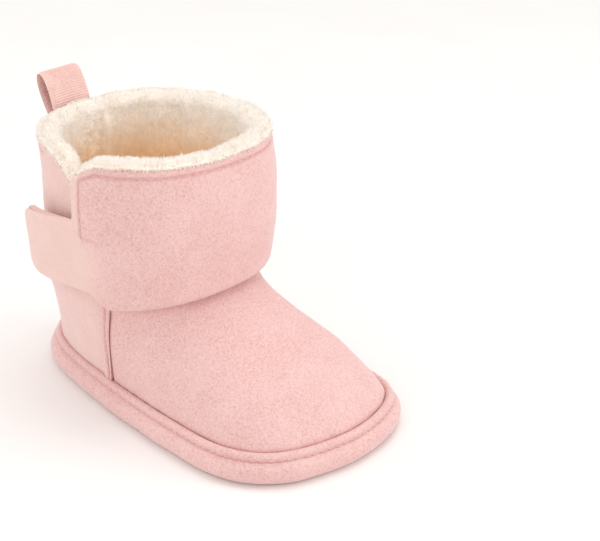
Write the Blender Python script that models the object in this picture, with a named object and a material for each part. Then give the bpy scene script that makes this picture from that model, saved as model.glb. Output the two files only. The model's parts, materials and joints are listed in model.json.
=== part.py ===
"""Baby bootie for the right foot: suede upper, plush lining, padded soft sole, wrap-round cuff with a
hook-and-loop tab, and a webbing pull loop. Toe along +X, closure on -Y, +Z up, sole's underside at z = 0.

Lengths are in millimetres here and become metres when a mesh is made. Angles are in degrees round the
shaft's upright axis: 0 at the toe, 90 on the inner side of the foot, 180 at the heel, 270 at the closure.
"""

import math

import bmesh
import bpy
from mathutils import Matrix, Vector

MM = 0.001

# Driving dimensions, millimetres.
GAP = 0.3
# Half-round the foot: distance from the heel, and distance inward (+) or outward (-) from the foot's line.
OUTLINE = [
    (0, 0), (7, -14.5), (20, -22.6), (45, -27.8), (80, -31.4), (105, -30.2), (120, -18.5),
    (126, 5), (121, 26.5), (108, 36), (84, 36), (48, 28), (20, 22.2), (7, 14.5),
]
SHAFT_FROM_HEEL = 46.0
RIM_RADIUS = 3.8
RIM_WALL = 1.2
OUTSOLE_THICK = 1.3
WELT_TOP = 9.5
WELT_OUT = 2.2
UPPER_INSET = 4.3
UPPER_BASE = 8.3
ANKLE_HEIGHT = 34.8
ANKLE_RISE = 3.6
TOE_DOME = 1.35
SHAFT_LOW = 38.0
SHAFT_HIGH = 84.0
SHAFT_ROUNDNESS = 2.25
REACH_FRONT = (26.8, 32.0)
REACH_REAR = (37.0, 33.0)
REACH_SIDE = (29.8, 32.6)
SUEDE = 1.4
PLUSH_FOOT = 3.9
LINING_GAP = 0.7
COLLAR_TOP = 81.5
ROLL_TOP = 84.0
ROLL_INNER = -6.4
CUFF_STAND = (3.6, 1.2)
CUFF_BULGE = 2.0
THREAD = 0.35
STITCH_HEIGHT = 79.2
INSOLE_PROFILE = [(0.0, 0.0), (0.8, 1.2), (5.0, 2.6)]

# Angles of the seams and edges.
SEAM_TOP = 288.0
SEAM_LEAN = 8.0
HINGE_ANGLE = 293.0
SLIT_ANGLE = 277.0
TAB_END = 239.5
BACK_SEAM = 180.0
MEDIAL_SEAM = 76.0

# Angles of the quarter's sections, close together where its top edge steps or turns.
INNER_SECTIONS = [76.5, 88, 100, 112, 124, 136, 148, 158, 167, 174, 179.4]
REAR_SECTIONS = [181.5, 190, 200, 211, 222, 234, 246, 254, 262, 266, 272, 277]
SLIT_SECTIONS = [281, 284, 287.3]

# Tab and pull loop.
TAB_LOW = 41.8
TAB_HIGH = 64.0
TAB_SLOPE = 2.2
TAB_LIFT = 1.9
TAB_ARC = 36.0
TAB_ROUND = (5.5, 2.6)
TAB_LAYERS = (1.3, 2.4, 3.4)
PATCH_INSET = (3.0, 2.6)
CLOSURE_HEIGHT = 52.0
FLAP_CORNER = 59.6
LOOP_WIDTH = 15.0
LOOP_WEB = 0.8
LOOP_LENGTH = 20.0
LOOP_OPEN = 2.8
LOOP_LEAN = 22.0
LOOP_ANGLE = 184.0
LOOP_BASE = 76.0
LOOP_STAND = 2.0


def lerp(a, b, t):
    return a + (b - a) * t


def smooth(t):
    t = min(max(t, 0.0), 1.0)
    return t * t * (3 - 2 * t)


def along(points, x):
    """The value at x on a line through (x, value) points."""
    for (x0, y0), (x1, y1) in zip(points, points[1:]):
        if x <= x1:
            return lerp(y0, y1, max(0.0, (x - x0) / (x1 - x0)))
    return points[-1][1]


# ---------------------------------------------------------------- the shape of the foot and the shaft


def spline_point(a, b, c, d, t):
    """A point between b and c, on a smooth curve that also goes through a and d."""
    bend = 2 * a - 5 * b + 4 * c - d
    twist = 3 * b - a - 3 * c + d
    return 0.5 * (2 * b + (c - a) * t + bend * t ** 2 + twist * t ** 3)


def sole_curve(steps=10):
    """The sole's outer line as a smooth closed curve through OUTLINE, centred on the origin."""
    count = len(OUTLINE)
    curve = []
    for i in range(count):
        near = [Vector(OUTLINE[(i + k) % count]) for k in (-1, 0, 1, 2)]
        curve += [spline_point(*near, j / steps) for j in range(steps)]
    xs = [p.x for p in curve]
    ys = [p.y for p in curve]
    centre = Vector(((min(xs) + max(xs)) / 2, (min(ys) + max(ys)) / 2))
    return [p - centre for p in curve], centre


def inset(curve, distance):
    """A closed curve moved inwards by the same distance all round."""
    moved = []
    for i, point in enumerate(curve):
        along_curve = (curve[(i + 1) % len(curve)] - curve[i - 1]).normalized()
        moved.append(point + Vector((-along_curve.y, along_curve.x)) * distance)
    return moved


SOLE, OUTLINE_CENTRE = sole_curve()
AXIS = Vector((SHAFT_FROM_HEEL, 0.6)) - OUTLINE_CENTRE
UPPER_FOOT = inset(SOLE, UPPER_INSET)


def base_reach(angle):
    """How far the upper's lowest line is from the shaft's axis, at an angle."""
    ray = Vector((math.cos(math.radians(angle)), math.sin(math.radians(angle))))
    for i, end in enumerate(UPPER_FOOT):
        start = UPPER_FOOT[i - 1] - AXIS
        side = end - AXIS - start
        cross = ray.x * side.y - ray.y * side.x
        share = (start.y * ray.x - start.x * ray.y) / -cross if cross else -1
        reach = (start + side * share).dot(ray)
        if 0 <= share <= 1 and reach > 0:
            return reach
    raise ValueError("the ray misses the sole")


def shaft_reach(angle, height):
    """How far the quarter's outer face is from the shaft's axis: a rounded oval that changes with height."""
    t = (height - SHAFT_LOW) / (SHAFT_HIGH - SHAFT_LOW)
    c = math.cos(math.radians(angle))
    s = math.sin(math.radians(angle))
    end = lerp(*(REACH_FRONT if c > 0 else REACH_REAR), t)
    side = lerp(*REACH_SIDE, t)
    return (abs(c / end) ** SHAFT_ROUNDNESS + abs(s / side) ** SHAFT_ROUNDNESS) ** (-1 / SHAFT_ROUNDNESS)


def ankle(angle):
    """Height of the line where the foot meets the shaft."""
    return ANKLE_HEIGHT + ANKLE_RISE * math.cos(math.radians(angle))


def shaft_point(angle, height, stand=0.0):
    """A point that stands off the shaft's outer face, level with it."""
    reach = shaft_reach(angle, height) + stand
    turn = math.radians(angle)
    return Vector((AXIS.x + reach * math.cos(turn), AXIS.y + reach * math.sin(turn), height))


def wall_face(angle, level):
    """The upper's outer face. Level 0 is its lowest line, 1 the ankle, and 2 the collar's height."""
    low = ankle(angle)
    if level > 1:
        return shaft_point(angle, lerp(low, SHAFT_HIGH, level - 1))
    toe_side = max(0.0, math.cos(math.radians(angle)))
    share = lerp(level, level ** TOE_DOME, toe_side)
    reach = lerp(base_reach(angle), shaft_reach(angle, low), share)
    turn = math.radians(angle)
    return Vector(
        (AXIS.x + reach * math.cos(turn), AXIS.y + reach * math.sin(turn), lerp(UPPER_BASE, low, level))
    )


def wall_point(angle, level, depth=0.0):
    """A point at a depth inside the upper's outer face, measured square to it, and no lower than its edge."""
    low = max(level - 0.02, 0.0)
    across = wall_face(angle + 0.7, level) - wall_face(angle - 0.7, level)
    upward = wall_face(angle, low + 0.04) - wall_face(angle, low)
    point = wall_face(angle, level) - across.cross(upward).normalized() * depth
    point.z = max(point.z, UPPER_BASE)
    return point


def level_of(angle, height):
    """The level at which the wall has this height."""
    low = ankle(angle)
    if height > low:
        return 1 + (height - low) / (SHAFT_HIGH - low)
    return (height - UPPER_BASE) / (low - UPPER_BASE)


def cuff_stand(angle, height):
    """How far the cuff's outer face stands off the shaft: padded low down, drawn in at the top and heel."""
    low = ankle(angle)
    t = (height - low) / (COLLAR_TOP - low)
    stand = lerp(*CUFF_STAND, t) + CUFF_BULGE * math.sin(math.pi * min(max(t, 0.0), 1.0))
    return stand * (1 - smooth((angle % 360 - 150) / 30)) if angle % 360 <= BACK_SEAM else stand


# ---------------------------------------------------------------- making meshes


def empty_scene():
    for obj in list(bpy.data.objects):
        bpy.data.objects.remove(obj, do_unlink=True)


def material(name, color, roughness):
    made = bpy.data.materials.new(name)
    made.use_nodes = True
    shader = made.node_tree.nodes["Principled BSDF"]
    shader.inputs["Base Color"].default_value = (*color, 1)
    shader.inputs["Roughness"].default_value = roughness
    return made


def add_object(name, bm, look, origin=None):
    """Puts a mesh that is in millimetres into the scene, with its origin on its joint's axis if any."""
    bmesh.ops.scale(bm, vec=(MM, MM, MM), verts=bm.verts)
    place = Vector(origin) * MM if origin else Vector()
    bmesh.ops.translate(bm, vec=-place, verts=bm.verts)
    bmesh.ops.recalc_face_normals(bm, faces=bm.faces)
    mesh = bpy.data.meshes.new(name)
    bm.to_mesh(mesh)
    bm.free()
    mesh.shade_smooth()
    mesh.set_sharp_from_angle(angle=math.radians(50))
    mesh.materials.append(look)
    obj = bpy.data.objects.new(name, mesh)
    obj.location = place
    PARTS.objects.link(obj)
    return obj


def skin(rings, round_trip, closed_section=True):
    """A grid of quads carried onto rings of points. A round trip joins the last ring to the first.

    Where a section is closed its last point joins its first, and what stays open at the ends is filled.
    """
    rings = rings + [rings[0]] if round_trip else rings
    along_rings = len(rings) - 1
    across = len(rings[0]) if closed_section else len(rings[0]) - 1
    bm = bmesh.new()
    bmesh.ops.create_grid(bm, x_segments=along_rings, y_segments=across, size=0.5)
    for vert in bm.verts:
        u = round((vert.co.x + 0.5) * along_rings)
        v = round((vert.co.y + 0.5) * across)
        vert.co = rings[u][v % len(rings[0])]
    bmesh.ops.remove_doubles(bm, verts=bm.verts, dist=1e-5)
    bmesh.ops.holes_fill(bm, edges=[edge for edge in bm.edges if edge.is_boundary], sides=0)
    return bm


def spread(start, end, count):
    return [lerp(start, end, i / (count - 1)) for i in range(count)]


def strip(outer, inner):
    """A closed section from a line of outer points and the line of inner points behind it."""
    return outer + inner[::-1]


def sole_ring(profile, count=56):
    """Rings round the sole for a profile of (distance in from the sole's outer line, height)."""
    step = len(SOLE) / count
    lines = [(inset(SOLE, distance), height) for distance, height in profile]
    return [[Vector((*line[int(i * step)], height)) for line, height in lines] for i in range(count)]


def tube(name, points, look, cyclic=False, radius=THREAD):
    curve = bpy.data.curves.new(name, "CURVE")
    curve.dimensions = "3D"
    curve.bevel_depth = radius * MM
    curve.bevel_resolution = 0
    curve.use_fill_caps = True
    spline = curve.splines.new("POLY")
    spline.points.add(len(points) - 1)
    for target, point in zip(spline.points, points):
        target.co = (*(point * MM), 1)
    spline.use_cyclic_u = cyclic
    curve.materials.append(look)
    obj = bpy.data.objects.new(name, curve)
    PARTS.objects.link(obj)
    return obj


# ---------------------------------------------------------------- sole


def build_slab(name, profile, look):
    """A flat solid: its side wall is a band of quads, and its open top and bottom are filled."""
    return add_object(name, skin(sole_ring(profile), True, closed_section=False), look)


def build_outsole():
    edge = RIM_RADIUS + GAP
    build_slab("outsole", [(edge, 0.0), (edge, OUTSOLE_THICK)], GRIP)


def build_midsole():
    inner = RIM_RADIUS - RIM_WALL - GAP
    low = OUTSOLE_THICK + GAP
    arc = [(RIM_RADIUS - inner * math.sin(t), RIM_RADIUS - inner * math.cos(t)) for t in spread(0.35, 2.6, 6)]
    build_slab("midsole_foam", [(RIM_RADIUS + 1.5, low), *arc, (RIM_RADIUS + 1.5, arc[-1][1])], FOAM)


def build_sole_rim():
    """The suede strip wrapped round the foam's edge: a C in section, open inwards."""
    turns = spread(math.radians(-2), math.radians(178), 9)
    outer = [(RIM_RADIUS * (1 - math.sin(t)), RIM_RADIUS * (1 - math.cos(t))) for t in turns]
    inner_radius = RIM_RADIUS - RIM_WALL
    inner = [
        (RIM_RADIUS - inner_radius * math.sin(t), RIM_RADIUS - inner_radius * math.cos(t)) for t in turns
    ]
    add_object("sole_rim", skin(sole_ring(strip(outer, inner)), True), SUEDE_PINK)


def build_welt():
    low = 2 * RIM_RADIUS + GAP
    inner = UPPER_INSET - 3 * GAP
    profile = [(WELT_OUT, low), (WELT_OUT + 0.3, low + 0.6), (inner, WELT_TOP), (inner, low)]
    add_object("welt", skin(sole_ring(profile), True), SUEDE_PINK)


def build_insole():
    edge = UPPER_INSET + SUEDE + LINING_GAP + PLUSH_FOOT + 3.0
    low = 2 * RIM_RADIUS + GAP
    build_slab("insole", [(edge + inward, low + up) for inward, up in INSOLE_PROFILE], PLUSH)


# ---------------------------------------------------------------- upper


def seam_angle(level):
    """The side seam leans back towards the sole."""
    return SEAM_TOP - SEAM_LEAN * (1 - min(level, 1.0))


def medial_angle(level):
    return MEDIAL_SEAM + SEAM_LEAN * (1 - min(level, 1.0))


def foot_section(angle_at, depths, levels):
    """A section of an upper panel, between two depths inside the outer face."""
    outer = [wall_point(angle_at(level), level, depths[0]) for level in levels]
    inner = [wall_point(angle_at(level), level, depths[1]) for level in levels]
    return strip(outer, inner)


def panel_between(first, last, depths, levels, count):
    """Rings for a panel whose two ends follow the functions first(level) and last(level)."""
    return [
        foot_section(lambda level, t=t: lerp(first(level), last(level), t), depths, levels)
        for t in spread(0.0, 1.0, count)
    ]


def build_vamp():
    edge = 0.5

    def first(level):
        return seam_angle(level) - 360 + edge

    def last(level):
        return medial_angle(level) - edge

    levels = spread(0.0, 0.985, 9)
    add_object("vamp", skin(panel_between(first, last, (0.0, SUEDE), levels, 27), False), SUEDE_PINK)
    inner = (SUEDE + LINING_GAP, SUEDE + LINING_GAP + PLUSH_FOOT)
    rings = panel_between(first, last, inner, spread(0.0, 0.96, 7), 23)
    add_object("vamp_lining", skin(rings, False), PLUSH)


# The quarter's top edge on the closure side: it slopes down to the slit, then drops behind the cuff.
QUARTER_EDGE = [
    (182, COLLAR_TOP), (246, COLLAR_TOP), (254, 80.8), (262, 79.4), (266, 76.6),
    (272, 73.7), (277, 70.2), (284, 54.0), (287.3, 41.0),
]


def quarter_top(angle):
    if angle < BACK_SEAM:
        return ankle(angle) - 0.4
    return along(QUARTER_EDGE, angle)


def leant(angle, level):
    """The quarter's sections lean with its seams near its two ends, and stand upright between them."""
    toward_inner = max(0.0, (100 - angle) / 24)
    toward_slit = max(0.0, (angle - 262) / 26)
    lean = (medial_angle(level) - MEDIAL_SEAM) * toward_inner
    return angle + lean - (SEAM_TOP - seam_angle(level)) * toward_slit


def build_quarter():
    rings = []
    for angle in INNER_SECTIONS + REAR_SECTIONS + SLIT_SECTIONS:
        levels = spread(0.0, level_of(angle, quarter_top(angle)), 12)
        rings.append(foot_section(lambda level, angle=angle: leant(angle, level), (0.0, SUEDE), levels))
    add_object("heel_quarter", skin(rings, False), SUEDE_PINK)


def roll_section(angle, top, outer_low, outer_stand, low):
    """The plush from a height, low, over the rim: up the outer side, round the roll and down the inside."""
    rise = ROLL_TOP - COLLAR_TOP
    mid = (outer_stand + ROLL_INNER) / 2
    outer = [shaft_point(angle, height, outer_low(height)) for height in spread(low, top - 1.2, 6)]
    round_top = [
        (outer_low(top), top + 1.5 * GAP),
        (outer_stand, top + 0.4 * rise),
        (outer_stand - 0.9, top + 0.8 * rise),
        (mid, top + rise),
        (ROLL_INNER + 0.9, top + 0.75 * rise),
        (ROLL_INNER, top),
    ]
    roll = [shaft_point(angle, height, stand) for stand, height in round_top]
    inner = [shaft_point(angle, height, ROLL_INNER) for height in spread(top - 4.0, low, 5)]
    return outer + roll + inner


def build_quarter_lining():
    """Below the ankle it goes all round the heel; above it, it lines only the half that the cuff leaves."""
    depths = (SUEDE + LINING_GAP, SUEDE + LINING_GAP + PLUSH_FOOT)

    def first(level):
        return medial_angle(level) + 0.5

    def last(level):
        return seam_angle(level) - 0.7

    rings = panel_between(first, last, depths, spread(0.0, 0.9, 6), 25)
    add_object("heel_lining", skin(rings, False), PLUSH)
    rings = []
    for angle in REAR_SECTIONS:
        top = quarter_top(angle)
        low = ankle(angle) + 1.2
        rings.append(roll_section(angle, top, lambda height: -SUEDE - LINING_GAP, 0.5, low))
    add_object("collar_lining_rear", skin(rings, False), PLUSH)


# ---------------------------------------------------------------- cuff, flap and tab


def cuff_section(angle, low, high, thick=SUEDE, under=0.0):
    heights = spread(low, high, 8)
    outer = [shaft_point(angle, height, cuff_stand(angle, height) - under) for height in heights]
    inner = [shaft_point(angle, height, cuff_stand(angle, height) - under - thick) for height in heights]
    return strip(outer, inner)


def build_cuff():
    start = HINGE_ANGLE - 360 + 0.35
    angles = spread(start, BACK_SEAM - 0.6, 33)
    rings = [cuff_section(angle, ankle(angle) + 0.3, COLLAR_TOP) for angle in angles]
    add_object("cuff", skin(rings, False), SUEDE_PINK)
    rings = []
    for angle in spread(start, BACK_SEAM - 0.6, 29):
        stand = cuff_stand(angle, COLLAR_TOP)

        def under_suede(height, angle=angle):
            return cuff_stand(angle, height) - SUEDE - LINING_GAP

        rings.append(roll_section(angle, COLLAR_TOP, under_suede, stand, ankle(angle) + 0.9))
    add_object("collar_lining_front", skin(rings, False), PLUSH)


def flap_low(angle):
    """The flap's free lower edge curves up from the side seam to the tab's lower edge."""
    return lerp(TAB_LOW, ankle(angle) + 0.3, smooth((angle - 281) / (HINGE_ANGLE - 281)))


FLAP_ANGLES = spread(HINGE_ANGLE - 0.35, SLIT_ANGLE, 7)


def flap_lining_section(angle):
    """The flap's plush: thin behind the suede, so that it clears the quarter, and full at the rim."""
    heights = spread(flap_low(angle) + 0.5, COLLAR_TOP - 1.2, 9)
    behind = [cuff_stand(angle, height) - SUEDE - GAP for height in heights]
    stand = cuff_stand(angle, COLLAR_TOP)
    roll = [
        (stand - SUEDE - GAP, COLLAR_TOP + GAP),
        (stand, COLLAR_TOP + 1.3),
        (stand - 1.2, ROLL_TOP - 0.5),
        (stand - 3.0, ROLL_TOP),
        (-3.6, COLLAR_TOP + 1.6),
        (-3.8, COLLAR_TOP - 1.0),
    ]
    inner = [(min(0.9, stand - 0.7), height) for stand, height in zip(behind, heights)]
    line = [*zip(behind, heights), *roll, *inner[-2::-1]]
    return [shaft_point(angle, height, off) for off, height in line]


def build_flap():
    pivot = hinge_point()
    rings = [cuff_section(angle, flap_low(angle), COLLAR_TOP) for angle in FLAP_ANGLES]
    add_object("cuff_flap", skin(rings, False), SUEDE_PINK, pivot)
    rings = [flap_lining_section(angle) for angle in FLAP_ANGLES]
    add_object("flap_lining", skin(rings, False), PLUSH, pivot)


def hinge_point():
    """Where the flap turns: outside the cuff's fullest height, at its sewn end."""
    stand = cuff_stand(HINGE_ANGLE, CLOSURE_HEIGHT) + 0.5
    return shaft_point(HINGE_ANGLE, CLOSURE_HEIGHT, stand)


def tab_pivot():
    """Where the tab bends: just outside its root, at the slit."""
    stand = cuff_stand(SLIT_ANGLE, CLOSURE_HEIGHT) + 0.5
    return shaft_point(SLIT_ANGLE - 0.4, CLOSURE_HEIGHT, stand)


def along_tab(angle):
    """0 at the tab's root and 1 at its free end."""
    return smooth((SLIT_ANGLE - angle) / (SLIT_ANGLE - TAB_END))


def tab_stand(angle):
    """The tab lies on the quarter and lifts a little towards its free end."""
    return cuff_stand(SLIT_ANGLE, CLOSURE_HEIGHT) + 0.35 + TAB_LIFT * along_tab(angle)


def tab_span(angle, shrink=0.0):
    """The tab's lower and upper edges, rounded at the free end. The upper edge slopes down towards it."""
    from_end = math.radians(angle - TAB_END) * TAB_ARC - shrink
    low_round, high_round = TAB_ROUND
    low = TAB_LOW + shrink
    high = TAB_HIGH - shrink - TAB_SLOPE * along_tab(angle)
    if from_end < low_round:
        low += low_round - math.sqrt(max(0.0, low_round ** 2 - (low_round - from_end) ** 2))
    if from_end < high_round:
        high -= high_round - math.sqrt(max(0.0, high_round ** 2 - (high_round - from_end) ** 2))
    return low, high


def tab_layer(name, depths, look, angles, shrink=0.0, span=tab_span):
    rings = []
    for angle in angles:
        low, high = span(angle, shrink)
        heights = spread(low, high, 5)
        stand = tab_stand(angle)
        outer = [shaft_point(angle, height, stand - depths[0]) for height in heights]
        inner = [shaft_point(angle, height, stand - depths[1]) for height in heights]
        rings.append(strip(outer, inner))
    add_object(name, skin(rings, False), look, tab_pivot())


def patch_span(angle, shrink):
    """The edges of a fastener patch: square-cornered, and level with the tab's middle."""
    return TAB_LOW + shrink, TAB_HIGH - shrink - TAB_SLOPE * along_tab(angle)


def build_tab():
    ends = [TAB_END + 0.15, TAB_END + 0.8, TAB_END + 2.0, TAB_END + 4.0, TAB_END + 8.0]
    angles = spread(SLIT_ANGLE - 0.8, TAB_END + 12.0, 8) + ends[::-1]
    outer, facing, hooks = TAB_LAYERS
    tab_layer("closure_tab", (0.0, outer), SUEDE_PINK, angles)
    inner_angles = spread(SLIT_ANGLE - 1.2, TAB_END + 9.5, 8) + [TAB_END + 5.0, TAB_END + 2.6]
    tab_layer("tab_facing", (outer + GAP, facing), SUEDE_PINK, inner_angles, 0.5)
    hook_angles = spread(SLIT_ANGLE - 12, TAB_END + 5, 7)
    tab_layer("hook_patch", (facing + GAP, hooks), HOOK, hook_angles, PATCH_INSET[0], patch_span)


def build_loop_patch():
    """The loop half of the fastener, on the quarter's face under the tab."""
    rings = []
    for angle in spread(SLIT_ANGLE - 7, TAB_END + 4, 9):
        heights = spread(*patch_span(angle, PATCH_INSET[1]), 4)
        outer = [shaft_point(angle, height, 1.0) for height in heights]
        inner = [shaft_point(angle, height, GAP) for height in heights]
        rings.append(strip(outer, inner))
    add_object("loop_patch", skin(rings, False), LOOP_PILE)


# ---------------------------------------------------------------- pull loop


def loop_line(first=0.8):
    """The webbing's middle line, seen from the side: a teardrop whose two ends meet at the collar."""
    path = []
    for t in spread(first, 2 * math.pi - first, 25):
        side = LOOP_OPEN * math.sin(t) * math.sin(t / 2) ** 1.5
        path.append(Vector((side, 0, LOOP_LENGTH * (math.cos(first) - math.cos(t)) / 2)))
    return path


def build_pull_loop():
    """Webbing folded into a loop, both ends together at the collar, leaning away from it."""
    pivot = shaft_point(LOOP_ANGLE, LOOP_BASE, LOOP_STAND)
    path = loop_line()
    lean = Matrix.Rotation(math.radians(-LOOP_LEAN), 4, "Y")
    turn = Matrix.Rotation(math.radians(LOOP_ANGLE - 180), 4, "Z")
    half = LOOP_WIDTH / 2
    rings = []
    for i, point in enumerate(path):
        ahead = path[min(i + 1, len(path) - 1)]
        behind = path[max(i - 1, 0)]
        run = (ahead - behind).normalized()
        face = Vector((run.z, 0, -run.x)) * LOOP_WEB / 2
        corners = [(face, half), (face, -half), (-face, -half), (-face, half)]
        rings.append([pivot + turn @ lean @ (point + off + Vector((0, width, 0))) for off, width in corners])
    add_object("pull_loop", skin(rings, False), WEBBING, pivot)


# ---------------------------------------------------------------- sewing threads


def build_threads():
    rise = THREAD + GAP

    def on_cuff(angle, height):
        return shaft_point(angle, height, cuff_stand(angle, height) + rise)

    tube("collar_thread", [on_cuff(angle, STITCH_HEIGHT) for angle in spread(-65.5, 168, 44)], THREAD_PINK)
    across = [on_cuff(angle, STITCH_HEIGHT) for angle in spread(HINGE_ANGLE - 2, SLIT_ANGLE + 6, 4)]
    down = [on_cuff(SLIT_ANGLE + 5, height) for height in spread(STITCH_HEIGHT - 1.5, FLAP_CORNER, 8)]
    tube("flap_thread", across + down, THREAD_PINK)
    quarter = [shaft_point(angle, STITCH_HEIGHT - 0.8, rise) for angle in spread(198, 243, 12)]
    tube("quarter_thread", quarter, THREAD_PINK)
    levels = spread(0.12, 0.9, 12)
    lateral = [wall_point(seam_angle(level) + 2.4, level, -rise) for level in levels]
    medial = [wall_point(medial_angle(level) - 2.4, level, -rise) for level in levels]
    tube("lateral_seam_thread", lateral, THREAD_PINK)
    tube("medial_seam_thread", medial, THREAD_PINK)
    welt_line = inset(SOLE, UPPER_INSET - 1.0)
    points = [Vector((*welt_line[i], WELT_TOP + THREAD + 0.15)) for i in range(0, len(SOLE), 2)]
    tube("welt_thread", points, THREAD_PINK, cyclic=True)


PARTS = bpy.data.collections.new("baby_bootie")
bpy.context.scene.collection.children.link(PARTS)
empty_scene()

SUEDE_PINK = material("suede_pink", (0.86, 0.52, 0.49), 0.9)
PLUSH = material("plush_cream", (0.93, 0.83, 0.68), 1.0)
FOAM = material("foam_white", (0.85, 0.84, 0.80), 0.9)
GRIP = material("grip_sole", (0.82, 0.50, 0.48), 0.75)
HOOK = material("hook_tape", (0.84, 0.55, 0.53), 0.6)
LOOP_PILE = material("loop_tape", (0.86, 0.60, 0.58), 0.95)
WEBBING = material("webbing_pink", (0.88, 0.52, 0.51), 0.7)
THREAD_PINK = material("thread_pink", (0.80, 0.48, 0.46), 0.6)

build_outsole()
build_midsole()
build_sole_rim()
build_welt()
build_insole()
build_vamp()
build_quarter()
build_quarter_lining()
build_loop_patch()
build_cuff()
build_flap()
build_tab()
build_pull_loop()
build_threads()
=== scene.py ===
"""Baby bootie for the right foot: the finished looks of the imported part.

Suede-look upper with a padded cuff, plush lining, soft rolled sole, a tab that closes with hook and loop
tape, and a webbing pull loop. Toe along +X, closure on -Y, the sole's underside at z = 0.

Lengths in the pattern below are in millimetres and become metres when a mesh is made. Angles are in degrees
round the shaft's upright axis: 0 at the toe, 90 on the inner side of the foot, 180 at the heel and -90 at
the closure.
"""

import json
import math
import random
from functools import partial

import bmesh
import bpy
from bpy.props import FloatProperty, FloatVectorProperty, IntProperty, PointerProperty
from mathutils import Matrix, Vector, noise
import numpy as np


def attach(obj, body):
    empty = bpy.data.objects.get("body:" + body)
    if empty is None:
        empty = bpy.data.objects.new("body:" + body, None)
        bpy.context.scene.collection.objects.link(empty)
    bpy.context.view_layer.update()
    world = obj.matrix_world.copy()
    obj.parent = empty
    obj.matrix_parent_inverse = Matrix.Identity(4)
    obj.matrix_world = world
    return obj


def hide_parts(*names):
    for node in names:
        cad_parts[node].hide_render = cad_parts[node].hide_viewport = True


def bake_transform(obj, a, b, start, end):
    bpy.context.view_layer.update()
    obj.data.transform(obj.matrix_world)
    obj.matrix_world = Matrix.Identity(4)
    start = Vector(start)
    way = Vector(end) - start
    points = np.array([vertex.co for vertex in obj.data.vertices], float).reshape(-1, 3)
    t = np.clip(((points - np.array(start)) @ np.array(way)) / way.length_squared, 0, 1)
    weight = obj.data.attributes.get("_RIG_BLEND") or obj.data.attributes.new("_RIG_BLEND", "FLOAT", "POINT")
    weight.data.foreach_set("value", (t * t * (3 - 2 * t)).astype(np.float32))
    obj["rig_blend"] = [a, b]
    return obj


bl_info = {
    "name": "Baby Bootie",
    "version": (1, 0, 0),
    "blender": (4, 5, 0),
    "location": "3D View > Sidebar > Bootie",
    "description": "Builds a plush-lined baby bootie piece by piece on its packed frame",
    "category": "Add Mesh",
}

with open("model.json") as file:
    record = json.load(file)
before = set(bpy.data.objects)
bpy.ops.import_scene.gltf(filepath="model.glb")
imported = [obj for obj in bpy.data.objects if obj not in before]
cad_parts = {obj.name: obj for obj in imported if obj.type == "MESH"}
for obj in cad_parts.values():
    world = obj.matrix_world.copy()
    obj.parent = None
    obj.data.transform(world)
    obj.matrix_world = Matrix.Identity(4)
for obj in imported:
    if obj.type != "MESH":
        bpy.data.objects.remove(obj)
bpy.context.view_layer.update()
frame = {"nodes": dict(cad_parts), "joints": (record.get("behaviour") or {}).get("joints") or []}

MM = 0.001

# The pattern, in millimetres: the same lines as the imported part's.
OUTLINE = [
    (0, 0), (7, -14.5), (20, -22.6), (45, -27.8), (80, -31.4), (105, -30.2), (120, -18.5),
    (126, 5), (121, 26.5), (108, 36), (84, 36), (48, 28), (20, 22.2), (7, 14.5),
]
SHAFT_FROM_HEEL = 46.0
RIM_RADIUS = 3.8
UPPER_INSET = 4.3
UPPER_BASE = 8.3
ANKLE_HEIGHT = 34.8
ANKLE_RISE = 3.6
FOOT_TALL = 27  # about how tall the foot's side is, from the welt to the ankle
TOE_DOME = 1.35
SHAFT_LOW = 38.0
SHAFT_HIGH = 84.0
SHAFT_ROUNDNESS = 2.25
REACH_FRONT = (26.8, 32.0)
REACH_REAR = (37.0, 33.0)
REACH_SIDE = (29.8, 32.6)
COLLAR_TOP = 81.5
ROLL_INNER = -6.4
CUFF_STAND = (3.6, 1.2)
CUFF_BULGE = 2.0
STITCH_HEIGHT = 79.2

# Seams and edges, in degrees. The cuff's bands meet at CUFF_JOIN, well clear of the flap's hinge.
SEAM_TOP = 288.0
SEAM_LEAN = 8.0
HINGE_ANGLE = -67.0
SLIT_ANGLE = -84.5
TAB_END = -120.5
CUFF_JOIN = -45.0
BACK_SEAM = 180.0
MEDIAL_SEAM = 76.0
TAB_LOW = 41.8
TAB_HIGH = 64.0
TAB_LIFT = 1.9
CORNER_HEIGHT = 59.6
CORNER_DROP = 4.2  # how far the flap's top edge comes down at the slit
CORNER_WIDTH = 11
CLOSURE_HEIGHT = 52.0
TAB_SLOPE = 2.2  # how far the tab's upper edge comes down at its free end
TAB_ROUND_LOW = 5.5
TAB_ROUND_HIGH = 2.6
LOOP_TAPE_START = TAB_END + 4
LOOP_TAPE_END = SLIT_ANGLE - 7
CUFF_END = BACK_SEAM - 0.6
QUARTER_SEWN = 2.9  # from the quarter's top edge down to its stitching

# Radii that turn degrees round the shaft into millimetres.
CUFF_ARC = 36.5
TAB_ARC = 36.0
BACK_ARC = 33
PLUSH_ARC = 30

BAND = 3.5  # width of the turned edge down the slit, up to its stitching
SLIT_STITCH = SLIT_ANGLE + math.degrees(BAND / CUFF_ARC)

# The quarter's top edge behind the slit: (angle, height).
QUARTER_EDGE = [
    (182, COLLAR_TOP), (246, COLLAR_TOP), (254, 80.8), (262, 79.4), (266, 76.6), (272, 73.7), (277, 70.2),
    (284, 54.0), (287.3, 41.0),
]

# The pull loop: where it is sewn in (angle, height, stand), its size and how it leans.
LOOP_ROOT = (184, 76, 2.0)
LOOP_TURN = 4
LOOP_TILT = -22
LOOP_OPEN = 2.8
LOOP_LENGTH = 20.0
LOOP_START = 0.8  # in radians round the teardrop
WEB_HALF_WIDTH = 7.5


# ---------------------------------------------------------------- what a user would change


def length(name, description, default, low, high):
    return FloatProperty(
        name=name, description=description + ", in millimetres", default=default, min=low, max=high,
    )


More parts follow.
